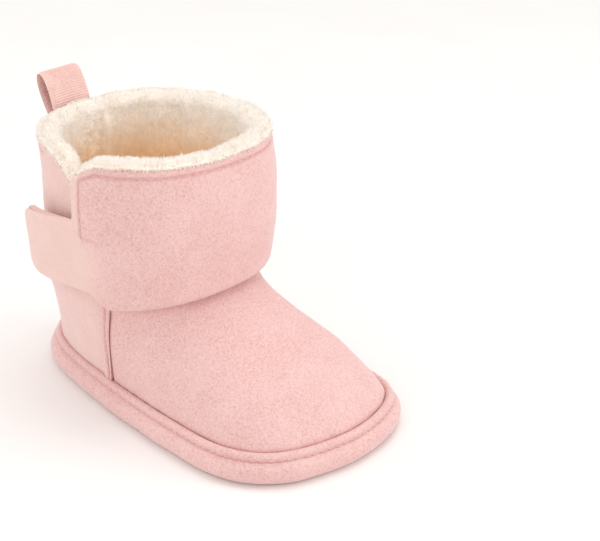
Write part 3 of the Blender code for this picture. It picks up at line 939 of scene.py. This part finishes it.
def quarter_panel(softness, lap):
    """The suede round the heel and up the back of the shaft, lapped over the vamp at both side seams."""

    def place(angle, share):
        top = level_of(angle, quarter_top(angle))
        level = top * share
        lean = 0.0
        if angle < 100:
            lean = SEAM_LEAN * (1 - min(level, 1.0)) * (100 - angle) / 24
        elif angle > 262:
            lean = -SEAM_LEAN * (1 - min(level, 1.0)) * (angle - 262) / 26
        at = angle + lean
        to_side = -seam_distance(at, level, seam_angle)
        to_medial = seam_distance(at, level, medial_angle)
        from_edge = min(to_side, to_medial) + 1.0
        point = wall_face(at, level)
        out = wall_normal(at, level)
        lapped = 0.75 * (1 - smooth((from_edge - lap * 1.6) / 3.0)) - fold_back(from_edge, 0.7, 1.3)
        sewn = groove(from_edge - lap, 0.38)
        back = groove(arc(at - BACK_SEAM, BACK_ARC), 0.55) * smooth((level - 0.05) * 8)
        foot, foot_fold = foot_edge(level)
        down = quarter_top(angle) - point.z
        collar = fold_back(down, 1.1, 1.0) if angle > BACK_SEAM else 0.0
        swell = unevenness(point, softness) * smooth(level / 0.12)
        stitched = groove(quarter_top(angle) - QUARTER_SEWN - point.z, 0.5) if 195 < angle < 246 else 0.0
        point = point + out * (lapped + swell - 0.35 * sewn - 0.45 * back - foot - collar - 0.3 * stitched)
        # Painted shade in the side seams, the back seam, the stitching, the lap's edge and the fold at the
        # welt. Away from its lapped edges the quarter gets a painted sheen, paler and less speckled.
        crease = foot_fold + 0.75 * sewn + 0.8 * back + 0.5 * stitched + 0.7 * groove(from_edge, 0.3)
        return point, crease, 0.75 * smooth((from_edge - 2) / 6)

    start = MEDIAL_SEAM - 1.4
    end = SEAM_TOP + 1.6
    spots = [start, start + 3.3, BACK_SEAM - 0.05, BACK_SEAM + 0.05, end - 3.3, end]
    columns = graded(start, end, 1.15, spots, 0.42, 2.2)
    rows = graded(0.0, 1.0, 0.0105, [0.0, 1.0], 0.006, 0.03)
    return carried_grid(columns, rows, place)


class BOOTIE_OT_upper(bpy.types.Operator):
    """Make the suede vamp and the suede heel quarter, with their lapped seams"""

    bl_idname = "bootie.upper"
    bl_label = "Suede upper"

    def execute(self, context):
        sizes = context.scene.bootie_upper
        vamp = suede_piece("vamp_panel", vamp_panel(sizes.softness), sizes.thickness, "shoe", "vamp")
        bm = quarter_panel(sizes.softness, sizes.lap)
        quarter = suede_piece("quarter_panel", bm, sizes.thickness, "shoe", "heel_quarter")
        return {"FINISHED"}


# ---------------------------------------------------------------- cuff, flap and tab


def stitch_height(angle):
    """The collar's stitching keeps about the same distance from its edge."""
    return STITCH_HEIGHT - 0.85 * corner_drop(angle)


def cuff_sewing(angle, height):
    """How strongly the sewing pulls at a point: along the collar, down the slit and round its corner."""
    from_slit = arc(angle - SLIT_ANGLE)
    pull = 0.0
    if from_slit > BAND - 0.1:
        pull = groove(height - stitch_height(angle), 0.55)
    if CORNER_HEIGHT < height < stitch_height(angle):
        pull = max(pull, groove(from_slit - BAND, 0.45))
    corner = smooth((from_slit - BAND) / 0.6) * (1 - smooth((from_slit - 9) / 3))
    return max(pull, 0.55 * corner * groove(height - CORNER_HEIGHT + from_slit * 0.02, 0.5))


def cuff_face(angle, height, softness):
    """The cuff's outer face: its edge is rolled in where it is sewn to the vamp, and free round the flap."""
    low = cuff_low(angle)
    stand = cuff_stand(angle, height)
    from_slit = arc(angle - SLIT_ANGLE)
    from_back = arc(CUFF_END - angle, BACK_ARC)
    sewn = smooth((angle + 79) / 12)
    at_back = smooth((angle - 150) / 29)
    tall = lerp(1.3, lerp(2.6, 1.2, at_back), sewn)
    deep = lerp(1.2, lerp(cuff_stand(angle, low) - 0.15, 0.5, at_back), sewn)
    drop = fold_back(height - low, tall, deep)
    drop += fold_back(rim_height(angle) - height, 1.2, 1.0)
    above_tab = smooth((height - TAB_HIGH) / 1.6)
    drop += fold_back(from_slit, 1.2, 1.1) * above_tab
    drop += fold_back(from_back, 0.8, 0.6)
    pull = cuff_sewing(angle, height)
    point = shaft_point(angle, height, stand)
    fade = smooth((height - low) / 4) * smooth((COLLAR_TOP - height) / 3)
    swell = unevenness(point, softness) * fade
    pinch = 0.45 * groove(from_slit - BAND / 2, 1.8) * above_tab
    point = shaft_point(angle, height, stand + swell + 0.15 * pinch - drop - 0.42 * pull)
    # Painted shade along the sewing, the sewn lower edge and the cuff's end at the back.
    crease = 0.75 * pull + 0.9 * groove(height - low, 0.5) * sewn
    crease += 0.5 * groove(from_back, 0.5)
    # A painted sheen, paler and less speckled, on the slit's turned edge and on the cuff below the flap's
    # corner.
    below = smooth((CORNER_HEIGHT + 1 - height) / 5)
    sheen_and_deep_shade = max(1 - smooth((from_slit - BAND + 0.5) / 0.8), below * (1 - smooth((from_slit - 2) / 13)))
    return point, crease, sheen_and_deep_shade


def corner_drop(angle):
    """How far the flap's top edge has come down as it nears its corner at the slit."""
    if angle > CUFF_JOIN:
        return 0.0
    return CORNER_DROP * (1 - smooth(arc(angle - SLIT_ANGLE) / CORNER_WIDTH))


def rim_height(angle):
    """Height of the collar's pink edge, which isn't quite level."""
    return COLLAR_TOP + wave_of_rim(angle) - corner_drop(angle)


def wave_of_rim(angle):
    """A slow rise and fall round the collar."""
    turn = math.radians(angle)
    return 0.35 * noise.noise(Vector((math.cos(turn) * 3, math.sin(turn) * 3, 4.0)))


def tab_top_share():
    """The tab's top edge as a share of the flap's height at the slit."""
    return (TAB_HIGH - TAB_LOW) / (rim_height(SLIT_ANGLE) - TAB_LOW)


def cuff_rows():
    """Shares of the cuff's height. One row is exactly the tab's top edge, where the tab joins the flap."""
    tab_top = tab_top_share()
    stitched = (STITCH_HEIGHT - TAB_LOW) / (COLLAR_TOP - TAB_LOW)
    return graded(0.0, 1.0, 0.017, [0.0, tab_top, stitched, 1.0], 0.008, 0.03)


def cuff_band(start, end, softness, spots):
    """A length of the cuff, with finer columns near some angles."""

    def place(angle, share):
        return cuff_face(angle, lerp(cuff_low(angle), rim_height(angle), share), softness)

    return carried_grid(graded(start, end, 1.0, spots, 0.42, 2.4), cuff_rows(), place)


def along_tab(angle):
    """0 at the tab's root and 1 at its free end."""
    return smooth((SLIT_ANGLE - angle) / (SLIT_ANGLE - TAB_END))


def tab_top_edge(angle):
    """The tab's upper edge slopes down towards its free end."""
    return TAB_HIGH - TAB_SLOPE * along_tab(angle)


def tab_span(angle, shrink=0.0):
    """The tab's lower and upper edges, rounded at the free end."""
    from_end = arc(angle - TAB_END, TAB_ARC) - shrink

    def rounded(radius):
        ahead = max(radius - from_end, 0.0)
        return radius - math.sqrt(max(0.0, radius ** 2 - ahead ** 2))

    low = TAB_LOW + shrink + rounded(TAB_ROUND_LOW)
    return low, tab_top_edge(angle) - shrink - rounded(TAB_ROUND_HIGH)


def facing_span(angle):
    """The facing stands a little proud of the tab's upper edge."""
    low, high = tab_span(angle, 0.35)
    return low, high + 1.1 * along_tab(angle)


def tab_stand(angle):
    """How far the tab's face stands off the shaft: it lifts towards its free end."""
    return cuff_stand(SLIT_ANGLE, CLOSURE_HEIGHT) + 0.35 + TAB_LIFT * along_tab(angle)


def tab_outer(softness):
    """The tab's outer layer. It begins on exactly the flap's own edge."""
    tab_top = tab_top_share()
    rows = [share for share in cuff_rows() if share <= tab_top + 1e-6]

    def place(angle, share):
        if angle > SLIT_ANGLE - 1e-6:
            return cuff_face(SLIT_ANGLE, lerp(TAB_LOW, rim_height(SLIT_ANGLE), share), softness)
        run = arc(SLIT_ANGLE - angle)
        base_high = lerp(TAB_LOW, rim_height(SLIT_ANGLE), tab_top)
        low, high = tab_span(angle)
        high = lerp(base_high, high, smooth(run / 3))
        height = lerp(low, high, share / tab_top)
        stand = lerp(cuff_stand(SLIT_ANGLE, height), tab_stand(angle), smooth(run / 9))
        drop = fold_back(height - low, 1.3, 1.2)
        drop += fold_back(high - height, 1.2, 1.1) * smooth(run / 1.6)
        drop += fold_back(arc(angle - TAB_END, TAB_ARC), 1.3, 1.2)
        point = shaft_point(angle, height, stand)
        swell = unevenness(point, softness) * lerp(1.0, 0.8, smooth(run / 6))
        swell *= smooth((height - low) / 4)
        # The whole tab gets the full painted sheen and no painted shade.
        return shaft_point(angle, height, stand + swell - min(drop, 1.5)), 0.0, 1.0

    end = TAB_END + 0.05
    columns = graded(end, SLIT_ANGLE, 0.85, [end, SLIT_ANGLE], 0.32, 2.2)
    return carried_grid(columns, rows, place)


def tab_layer(stand_under, angles, edges, rows=14):
    """One of the layers behind the tab, at its own distance inside the tab's face."""

    def place(angle, share):
        low, high = edges(angle)
        # Every layer behind the tab gets a little painted shade and some painted sheen.
        return shaft_point(angle, lerp(low, high, share), tab_stand(angle) - stand_under), 0.15, 0.6

    return carried_grid(angles, spread(0.0, 1.0, 1.0 / rows), place)


class BOOTIE_OT_cuff(bpy.types.Operator):
    """Make the padded suede cuff and the flap that closes it"""

    bl_idname = "bootie.cuff"
    bl_label = "Cuff and flap"

    def execute(self, context):
        sizes = context.scene.bootie_upper
        bm = cuff_band(CUFF_JOIN, CUFF_END, sizes.softness, [CUFF_END])
        cuff = suede_piece("cuff_band", bm, sizes.thickness, "shoe", "cuff")
        bm = cuff_band(SLIT_ANGLE, CUFF_JOIN, sizes.softness, [SLIT_ANGLE, SLIT_STITCH])
        flap = suede_piece("cuff_flap_band", bm, sizes.thickness, flap_bend(), "cuff_flap")
        return {"FINISHED"}


class BOOTIE_OT_tab(bpy.types.Operator):
    """Make the closing tab, its facing and both halves of the hook and loop tape"""

    bl_idname = "bootie.tab"
    bl_label = "Closure tab"

    def execute(self, context):
        sizes = context.scene.bootie_upper
        bm = tab_outer(sizes.softness)
        tab = suede_piece("tab_outer", bm, sizes.thickness, tab_bend(), "closure_tab")
        angles = graded(TAB_END + 0.9, SLIT_ANGLE - 1.4, 1.2, [TAB_END + 0.9], 0.4, 2.0)
        bm = tab_layer(1.3, angles, facing_span)
        facing = suede_piece("tab_facing_suede", bm, 1.35, tab_bend(), "tab_facing", sharp=60)
        angles = spread(TAB_END + 5, SLIT_ANGLE - 12, 1.1)
        bm = tab_layer(2.75, angles, lambda angle: (TAB_LOW + 3.2, tab_top_edge(angle) - 3.2), rows=24)
        bmesh.ops.reverse_faces(bm, faces=bm.faces)
        raise_pile(bm, pile_faces(bm, 0, 99), lambda point: 0.42, 0.25, 11)
        bmesh.ops.recalc_face_normals(bm, faces=bm.faces)
        hooks = woven("hook_nylon", (0.80, 0.50, 0.48), 0.35, 0.3, 0.45, 0.5)
        add_piece("hook_tape", bm, hooks, "tab", ["hook_patch"])
        bm = loop_tape()
        loops = woven("loop_nylon", (0.88, 0.62, 0.60), 0.35, 0.5, 0.95)
        add_piece("loop_tape", bm, loops, "shoe", ["loop_patch"])
        return {"FINISHED"}


def loop_tape():
    """The soft half of the fastener: a fuzzy patch sewn on the quarter."""

    def place(angle, share):
        height = lerp(TAB_LOW + 2.6, tab_top_edge(angle) - 2.8, share)
        across = min(share, 1 - share) * 18.6
        ends = min(angle - LOOP_TAPE_START, LOOP_TAPE_END - angle) * 0.62
        return shaft_point(angle, height, 0.35 + 0.5 * smooth(min(across, ends) / 0.9)), 0.0

    bm = carried_grid(spread(LOOP_TAPE_START, LOOP_TAPE_END, 0.9), spread(0.0, 1.0, 0.032), place)
    raise_pile(bm, pile_faces(bm, 0, 99), lambda point: 0.4, 0.9, 12)
    return bm


# ---------------------------------------------------------------- plush


def spline_rows(points, counts):
    """A smooth line through points, with a set number of steps for each stretch between them."""
    points = [Vector(point) for point in points]
    row = []
    for k, count in enumerate(counts):
        near = [points[max(k - 1, 0)], points[k], points[k + 1], points[min(k + 2, len(points) - 1)]]
        row += [spline_point(*near, j / count) for j in range(count)]
    return row + [points[-1]]


# Steps for each stretch of the collar's section, from its hidden outer foot, over the roll, down inside.
COLLAR_STEPS = [3, 3, 3, 4, 5, 7, 7, 6, 9, 14, 18, 14]
COLLAR_HIDDEN = sum(COLLAR_STEPS[:2])


def collar_section(top, hidden, face, low, pile):
    """(stand, height) of the plush's backing: hidden behind the suede, out over its edge, round and down."""
    inner = ROLL_INNER + pile * 0.55
    middle = lerp(low, top, 0.5)
    crown = top + 2.2 - pile * 0.5
    return [
        (hidden(low), low), (hidden(middle), middle), (hidden(top - 2.4), top - 2.4),
        (hidden(top) + 0.4, top - 0.3), (face - pile * 0.5, top + 0.6), (face - pile * 0.7 - 0.7, crown - 0.5),
        (lerp(face, inner, 0.5), crown), (inner + 1.0, crown - 0.9), (inner, top - 0.6),
        (inner - 0.2, top - 4.0), (inner, lerp(top, low, 0.33)), (inner + 0.1, lerp(top, low, 0.7)),
        (inner + 0.1, low),
    ]


def collar_pile(start, end, round_ends, seed, *, top_at, low_at, hidden_at, face_at):
    """A length of the collar's plush, as a closed body with its pile standing on every face that shows.

    top_at, low_at and face_at give its top, its foot and how far its face stands at the top, for an angle.
    hidden_at(angle, height) gives how far it stands behind the suede.
    """
    sizes = bpy.context.scene.bootie_plush
    pile = sizes.pile
    step = math.degrees(sizes.spacing / 31)
    angles = spread(start, end, step)
    rings = {}
    for angle in angles:
        hidden = partial(hidden_at, angle)
        section = collar_section(top_at(angle), hidden, face_at(angle), low_at(angle), pile)
        rings[angle] = spline_rows(section, COLLAR_STEPS)
    count = sum(COLLAR_STEPS)
    chance = random.Random(seed)

    def place(angle, k):
        stand, height = rings[angle][k]
        shrink = 1.0
        for is_round, distance in ((round_ends[0], angle - start), (round_ends[1], end - angle)):
            if is_round:
                shrink = min(shrink, 1 - fold_back(arc(distance, PLUSH_ARC), 2.6, 0.85))
        middle = (rings[angle][0].x + ROLL_INNER + pile) / 2
        stand = lerp(middle, stand, shrink)
        height -= (1 - shrink) * 2.2
        if COLLAR_HIDDEN < k < count:
            ground = shaft_point(angle, height, stand)
            swell = soft_noise(ground, 7.0, 1.0) * 0.9 + noise.fractal(ground / 2.3, 1.0, 2.0, 2) * sizes.clump
            inside = smooth((k - COLLAR_HIDDEN - 16) / 12)
            fold = groove((angle % 360) - 173, 3.2) * inside * smooth((82 - height) / 6)
            curl = groove((angle % 360) - 186, 9.0) * inside * smooth((82 - height) / 8)
            curly = noise.fractal(ground / 1.5, 1.0, 2.0, 2) * 0.8 * curl
            towards_axis = 1 if k > COLLAR_HIDDEN + 20 else -1
            stand -= towards_axis * swell * 0.6 + 1.5 * fold + curly
            height += swell * 0.45 * (1 - inside)
            wander = random_way(chance) * 0.09
            # Painted shade: deeper inside the shaft the plush is painted darker and warmer, less so on the
            # flap.
            deep = smooth((COLLAR_TOP + 1 - height) / 25) * smooth((k - COLLAR_HIDDEN - 12) / 10)
            deep *= 0.35 if round_ends[0] else 1.0
            return shaft_point(angle, height, stand) + wander, 0.0, deep
        return shaft_point(angle, height, stand), 0.0

    bm = carried_grid(angles, list(range(count + 1)), place)
    cap_section(bm, count)

    def length_at(point):
        deep = smooth((80 - point.z) / 14)
        return lerp(pile, pile * 0.5, deep) * (1 + 0.35 * noise.noise(point / 2.2))

    raise_pile(bm, pile_faces(bm, COLLAR_HIDDEN, count), length_at, 0.5, seed)
    return bm


def cap_section(bm, count):
    """Closes a section's ring along its foot, and then both of its ends."""
    row_of = bm.verts.layers.int["row"]
    edges = [
        edge for edge in bm.edges
        if edge.is_boundary and all(vert[row_of] in (0, count) for vert in edge.verts)
        and edge.verts[0][row_of] == edge.verts[1][row_of]
    ]
    bmesh.ops.bridge_loops(bm, edges=edges)
    cap_ends(bm)


def lining_pile(start, end, low_level, high_level, spacing, pile, seed):
    """Plush inside the foot: a closed pad whose inner face carries the pile."""
    depths = {"outer": 2.3, "inner": 4.7}
    outer_rows = 4
    inner_rows = max(6, round(34 * (high_level - low_level) / spacing))
    rows = [("outer", share) for share in spread(0.0, 1.0, 1 / outer_rows)]
    rows += [("inner", 1 - share) for share in spread(0.0, 1.0, 1 / inner_rows)]

    def place(angle, row):
        side, share = row
        level = lerp(low_level, high_level, share)
        point = wall_point(angle, level, depths[side])
        if side == "inner":
            swell = noise.fractal(point / 3.0, 1.0, 2.0, 2) * 0.5
            point = wall_point(angle, level, depths[side] + swell)
        point.z = max(point.z, UPPER_BASE)
        return point, 0.0

    bm = carried_grid(spread(start, end, math.degrees(spacing / 30)), rows, place)
    cap_section(bm, len(rows) - 1)
    raise_pile(bm, pile_faces(bm, outer_rows + 1, len(rows)), lambda point: pile, 0.7, seed)
    return bm


def width_at(line, x):
    """The lowest and highest y of a closed line at x."""
    hits = []
    for i, b in enumerate(line):
        a = line[i - 1]
        if (a.x > x) != (b.x > x):
            hits.append(lerp(a.y, b.y, (x - a.x) / (b.x - a.x)))
    return min(hits), max(hits)


def footbed():
    """The plush insole, a little dished."""
    inset = 12.2
    middle_height = 9.9
    line = offset_line(SOLE, inset)
    xs = [point.x for point in line]

    def place(x, share):
        low, high = width_at(line, x)
        across = 2 * share - 1
        point = Vector((x, lerp(low, high, share), middle_height + 0.7 * across * across))
        point.z += noise.fractal(point / 3.5, 1.0, 2.0, 2) * 0.35
        return point, 0.0

    bm = carried_grid(spread(min(xs) + 0.3, max(xs) - 0.3, 0.8), spread(0.0, 1.0, 0.02), place)
    bmesh.ops.solidify(bm, geom=bm.faces[:], thickness=1.5 * MM)
    shown = [face for face in bm.faces if face.normal.z > 0.4 and face.calc_center_median().z > 9.0 * MM]
    raise_pile(bm, shown, lambda point: 1.0, 0.6, 21)
    return bm


class BOOTIE_OT_plush(bpy.types.Operator):
    """Make the plush: the rolled collar in its three lengths, the foot's lining and the footbed"""

    bl_idname = "bootie.plush"
    bl_label = "Plush lining"

    def execute(self, context):
        in_cuff = {
            "top_at": rim_height, "low_at": lambda angle: cuff_low(angle) + 0.8,
            "hidden_at": lambda angle, height: cuff_stand(angle, height) - 2.2,
            "face_at": lambda angle: cuff_stand(angle, COLLAR_TOP),
        }
        in_quarter = {
            "top_at": quarter_top, "low_at": lambda angle: ankle(angle) + 1.2,
            "hidden_at": lambda angle, height: -1.6, "face_at": lambda angle: 0.4,
        }
        bm = collar_pile(CUFF_JOIN, BACK_SEAM, (False, False), 31, **in_cuff)
        plush_piece("collar_pile_front", bm, "shoe", "collar_lining_front")
        bm = collar_pile(SLIT_ANGLE + 0.3, CUFF_JOIN, (True, False), 32, **in_cuff)
        plush_piece("collar_pile_flap", bm, flap_bend(), "flap_lining")
        bm = collar_pile(BACK_SEAM, 360 + SLIT_ANGLE, (False, True), 33, **in_quarter)
        plush_piece("collar_pile_rear", bm, "shoe", "collar_lining_rear")
        plush_piece("vamp_pile", lining_pile(-73, 80, 0.0, 0.97, 1.3, 1.1, 34), "shoe", "vamp_lining")
        bm = lining_pile(80.5, 286.5, 0.0, 0.95, 0.9, 1.2, 35)
        plush_piece("heel_pile", bm, "shoe", "heel_lining")
        plush_piece("footbed_pile", footbed(), "shoe", "insole")
        return {"FINISHED"}


# ---------------------------------------------------------------- pull loop and sewing


def loop_path(t):
    """The teardrop that the folded webbing makes, in its own plane: both ends meet at the collar."""
    side = LOOP_OPEN * math.sin(t) * math.sin(t / 2) ** 1.5
    return Vector((side, 0, LOOP_LENGTH * (math.cos(LOOP_START) - math.cos(t)) / 2))


def pull_loop(ribs):
    """Ribbed webbing with firm edges."""
    last = 2 * math.pi - LOOP_START
    pivot = shaft_point(*LOOP_ROOT)
    leant = Matrix.Rotation(math.radians(LOOP_TURN), 4, "Z") @ Matrix.Rotation(math.radians(LOOP_TILT), 4, "Y")
    columns = spread(0.0, 1.0, 1 / (ribs * 4))
    across = [-1.0, -0.985, -0.94, -0.85, *[value / 9 for value in range(-7, 8)], 0.85, 0.94, 0.985, 1.0]
    rows = [(side, 1) for side in across] + [(side, -1) for side in reversed(across)]

    def place(share, row):
        side, face = row
        t = lerp(LOOP_START, last, share)
        ahead = loop_path(min(t + 0.02, last))
        behind = loop_path(max(t - 0.02, LOOP_START))
        run = (ahead - behind).normalized()
        out = Vector((run.z, 0, -run.x))
        rib = math.cos(share * ribs * 2 * math.pi)
        edge = abs(side) ** 10
        half_web = lerp(0.42 + 0.09 * rib, 0.12, edge)
        wobble = 0.12 * math.sin(share * 9 + side)
        point = loop_path(t) + out * (half_web * face + wobble) + Vector((0, side * WEB_HALF_WIDTH, 0))
        # Painted shade in the valleys between the webbing's ribs.
        return pivot + leant @ point, 0.5 - 0.5 * rib

    bm = carried_grid(columns, rows, place)
    cap_ends(bm)
    bmesh.ops.recalc_face_normals(bm, faces=bm.faces)
    return bm


class BOOTIE_OT_pull_loop(bpy.types.Operator):
    """Make the ribbed webbing loop at the back of the collar"""

    bl_idname = "bootie.pull_loop"
    bl_label = "Pull loop"

    def execute(self, context):
        look = woven("ribbed_webbing", context.scene.bootie_colours.webbing, 0.3, 0.5, 0.7)
        look.node_tree.nodes["Principled BSDF"].inputs["Sheen Weight"].default_value = 0.3
        bm = pull_loop(context.scene.bootie_trim.ribs)
        loop = add_piece("pull_loop_webbing", bm, look, "pull_loop", ["pull_loop"])
        return {"FINISHED"}


def stitch_row(points, outs, length, radius):
    """Separate stitches along a line, each a slim bead laid along it and sunk halfway into the cloth."""
    bm = bmesh.new()
    bm.verts.layers.float.new("crease")
    runs = [0.0]
    for a, b in zip(points, points[1:]):
        runs.append(runs[-1] + (b - a).length)
    pitch = length + 0.55
    count = max(1, int(runs[-1] / pitch))
    for i in range(count):
        at = (i + 0.5) * runs[-1] / count
        k = next(k for k in range(1, len(runs)) if runs[k] >= at)
        share = (at - runs[k - 1]) / (runs[k] - runs[k - 1])
        middle = points[k - 1].lerp(points[k], share)
        run = (points[k] - points[k - 1]).normalized()
        out = outs[k]
        out = (out - run * out.dot(run)).normalized()
        turn = Matrix((run, out.cross(run), out)).transposed().to_4x4()
        size = Matrix.Diagonal((length / 2 * MM, radius * MM, radius * 0.9 * MM, 1.0))
        bmesh.ops.create_uvsphere(
            bm, u_segments=6, v_segments=5, radius=1.0,
            matrix=Matrix.Translation(middle * MM) @ turn @ size @ Matrix.Rotation(math.pi / 2, 4, "Y"),
        )
    return bm


def radial(angle):
    return Vector((math.cos(math.radians(angle)), math.sin(math.radians(angle)), 0))


class BOOTIE_OT_sewing(bpy.types.Operator):
    """Sew the collar, the flap, the quarter, both side seams and the welt"""

    bl_idname = "bootie.sewing"
    bl_label = "Sewing"

    def execute(self, context):
        trim = context.scene.bootie_trim
        softness = context.scene.bootie_upper.softness
        look = woven("sewing_thread", context.scene.bootie_colours.thread, 0.25, 0.4, 0.6, 0.3)

        def sew(name, spots, body, stands_for):
            """Each spot is a point of the seam and the direction out of the cloth there."""
            points, outs = zip(*spots)
            bm = stitch_row(points, outs, trim.stitch_length, trim.stitch_radius)
            add_piece(name, bm, look, body, [stands_for])

        def on_cuff(angle, height):
            point = cuff_face(angle, height, softness)[0]
            return point + radial(angle) * 0.08, radial(angle)

        spots = [on_cuff(angle, STITCH_HEIGHT) for angle in spread(CUFF_JOIN, 168, 1.0)]
        sew("collar_stitches", spots, "shoe", "collar_thread")
        down_slit = spread(stitch_height(SLIT_STITCH) - 0.6, CORNER_HEIGHT, 1.0)
        spots = [on_cuff(angle, stitch_height(angle)) for angle in spread(CUFF_JOIN, SLIT_STITCH + 0.4, 1.0)]
        spots += [on_cuff(SLIT_STITCH, height) for height in down_slit]
        sew("flap_stitches", spots, flap_bend(), "flap_thread")
        height = COLLAR_TOP - QUARTER_SEWN
        spots = [(shaft_point(angle, height, -0.1), radial(angle)) for angle in spread(198, 243, 1.0)]
        sew("quarter_stitches", spots, "shoe", "quarter_thread")
        lap = context.scene.bootie_upper.lap - 1.0
        for name, seam, side, stands_for in (
            ("side_seam_stitches", seam_angle, -1, "lateral_seam_thread"),
            ("inner_seam_stitches", medial_angle, 1, "medial_seam_thread"),
        ):
            spots = []
            for level in spread(0.08, 0.97, 0.03):
                angle = seam(level) + side * math.degrees(lap / wall_reach(seam(level), level))
                spots.append((wall_point(angle, level, -0.45), wall_normal(angle, level)))
            sew(name, spots, "shoe", stands_for)
        spots = [
            (Vector((*(point + inward * 2.2), 7.75)), Vector((*-inward, 0.4)).normalized())
            for point, inward, _ in FINE_SOLE
        ]
        sew("welt_stitches", spots, "shoe", "welt_thread")
        return {"FINISHED"}


# ---------------------------------------------------------------- stage


class BOOTIE_OT_stage(bpy.types.Operator):
    """Lay the pale floor, hang the soft lights and set up the camera"""

    bl_idname = "bootie.stage"
    bl_label = "Stage"

    def execute(self, context):
        scene = context.scene
        bm = bmesh.new()
        bmesh.ops.create_grid(bm, x_segments=1, y_segments=1, size=3.0)
        mesh = bpy.data.meshes.new("floor")
        bm.to_mesh(mesh)
        bm.free()
        floor = bpy.data.objects.new("floor", mesh)
        made, tree, shader, place = blank_material("floor")
        drift = grain(tree, place, 40.0, 2.0)
        tone = mix(tree, spread_of_values(tree, drift, 0.3, 0.7), (0.90, 0.885, 0.87, 1), (0.92, 0.91, 0.90, 1))
        fill_inputs(tree, shader, {"Base Color": tone, "Roughness": 0.9, "Specular IOR Level": 0.1})
        mesh.materials.append(made)
        scene.collection.objects.link(floor)

        world = bpy.data.worlds.new("studio")
        world.use_nodes = True
        backdrop = world.node_tree.nodes["Background"]
        backdrop.inputs["Color"].default_value = (1.0, 0.99, 0.98, 1.0)
        backdrop.inputs["Strength"].default_value = 0.82
        scene.world = world
        self.light(scene, "key_softbox", (0.04, 0.14, 0.92), 0.60, 2.0)
        self.light(scene, "front_softbox", (0.25, -0.75, 0.45), 0.70, 1.3)
        self.light(scene, "side_softbox", (-0.70, -0.35, 0.45), 0.60, 1.0)
        self.light(scene, "toe_softbox", (0.64, 0.46, 0.34), 0.40, 1.7)
        scene.view_settings.view_transform = "Standard"

        lens = bpy.data.cameras.new("camera")
        lens.lens = 83.8
        lens.sensor_width = 36.0
        lens.clip_start = 0.01
        lens.clip_end = 20.0
        camera = bpy.data.objects.new("camera", lens)
        right = Vector((0.720, 0.694, 0.0)).normalized()
        back = Vector((0.628, -0.652, 0.424)).normalized()
        up = back.cross(right)
        turn = Matrix((right, up, back)).transposed().to_4x4()
        camera.matrix_world = Matrix.Translation((0.2834, -0.2524, 0.2178)) @ turn
        scene.collection.objects.link(camera)
        scene.camera = camera
        return {"FINISHED"}

    @staticmethod
    def light(scene, name, place, size, power):
        """A square softbox that faces the bootie."""
        lamp = bpy.data.lights.new(name, "AREA")
        lamp.size = size
        lamp.energy = power
        lamp.color = (1.0, 0.985, 0.965)
        obj = bpy.data.objects.new(name, lamp)
        towards = Vector((0, 0, 0.04)) - Vector(place)
        obj.matrix_world = Matrix.Translation(place) @ towards.to_track_quat("-Z", "Y").to_matrix().to_4x4()
        scene.collection.objects.link(obj)


# ---------------------------------------------------------------- panel and registration


class BOOTIE_PT_sidebar(bpy.types.Panel):
    """Sizes, colours and the steps that build the bootie"""

    bl_idname = "BOOTIE_PT_sidebar"
    bl_label = "Baby Bootie"
    bl_space_type = "VIEW_3D"
    bl_region_type = "UI"
    bl_category = "Bootie"

    def draw(self, context):
        layout = self.layout
        for name in ("bootie_sole", "bootie_upper", "bootie_plush", "bootie_trim", "bootie_colours"):
            group = getattr(context.scene, name)
            box = layout.box()
            box.label(text=group.bl_rna.name)
            for key in group.__annotations__:
                box.prop(group, key)
        for step in STEPS:
            layout.operator(step.bl_idname)


STEPS = (
    BOOTIE_OT_stage, BOOTIE_OT_sole, BOOTIE_OT_upper, BOOTIE_OT_plush, BOOTIE_OT_cuff, BOOTIE_OT_tab,
    BOOTIE_OT_pull_loop, BOOTIE_OT_sewing,
)
GROUPS = {
    "bootie_sole": BootieSole, "bootie_upper": BootieUpper, "bootie_plush": BootiePlush,
    "bootie_trim": BootieTrim, "bootie_colours": BootieColours,
}


def register():
    for name, group in GROUPS.items():
        bpy.utils.register_class(group)
        setattr(bpy.types.Scene, name, PointerProperty(type=group))
    for made in (*STEPS, BOOTIE_PT_sidebar):
        bpy.utils.register_class(made)


def unregister():
    for made in (BOOTIE_PT_sidebar, *reversed(STEPS)):
        bpy.utils.unregister_class(made)
    for name, group in GROUPS.items():
        delattr(bpy.types.Scene, name)
        bpy.utils.unregister_class(group)


def main():
    register()
    bpy.ops.bootie.stage()
    bpy.ops.bootie.sole()
    bpy.ops.bootie.upper()
    bpy.ops.bootie.plush()
    bpy.ops.bootie.cuff()
    bpy.ops.bootie.tab()
    bpy.ops.bootie.pull_loop()
    bpy.ops.bootie.sewing()


if __name__ == "__main__":
    main()
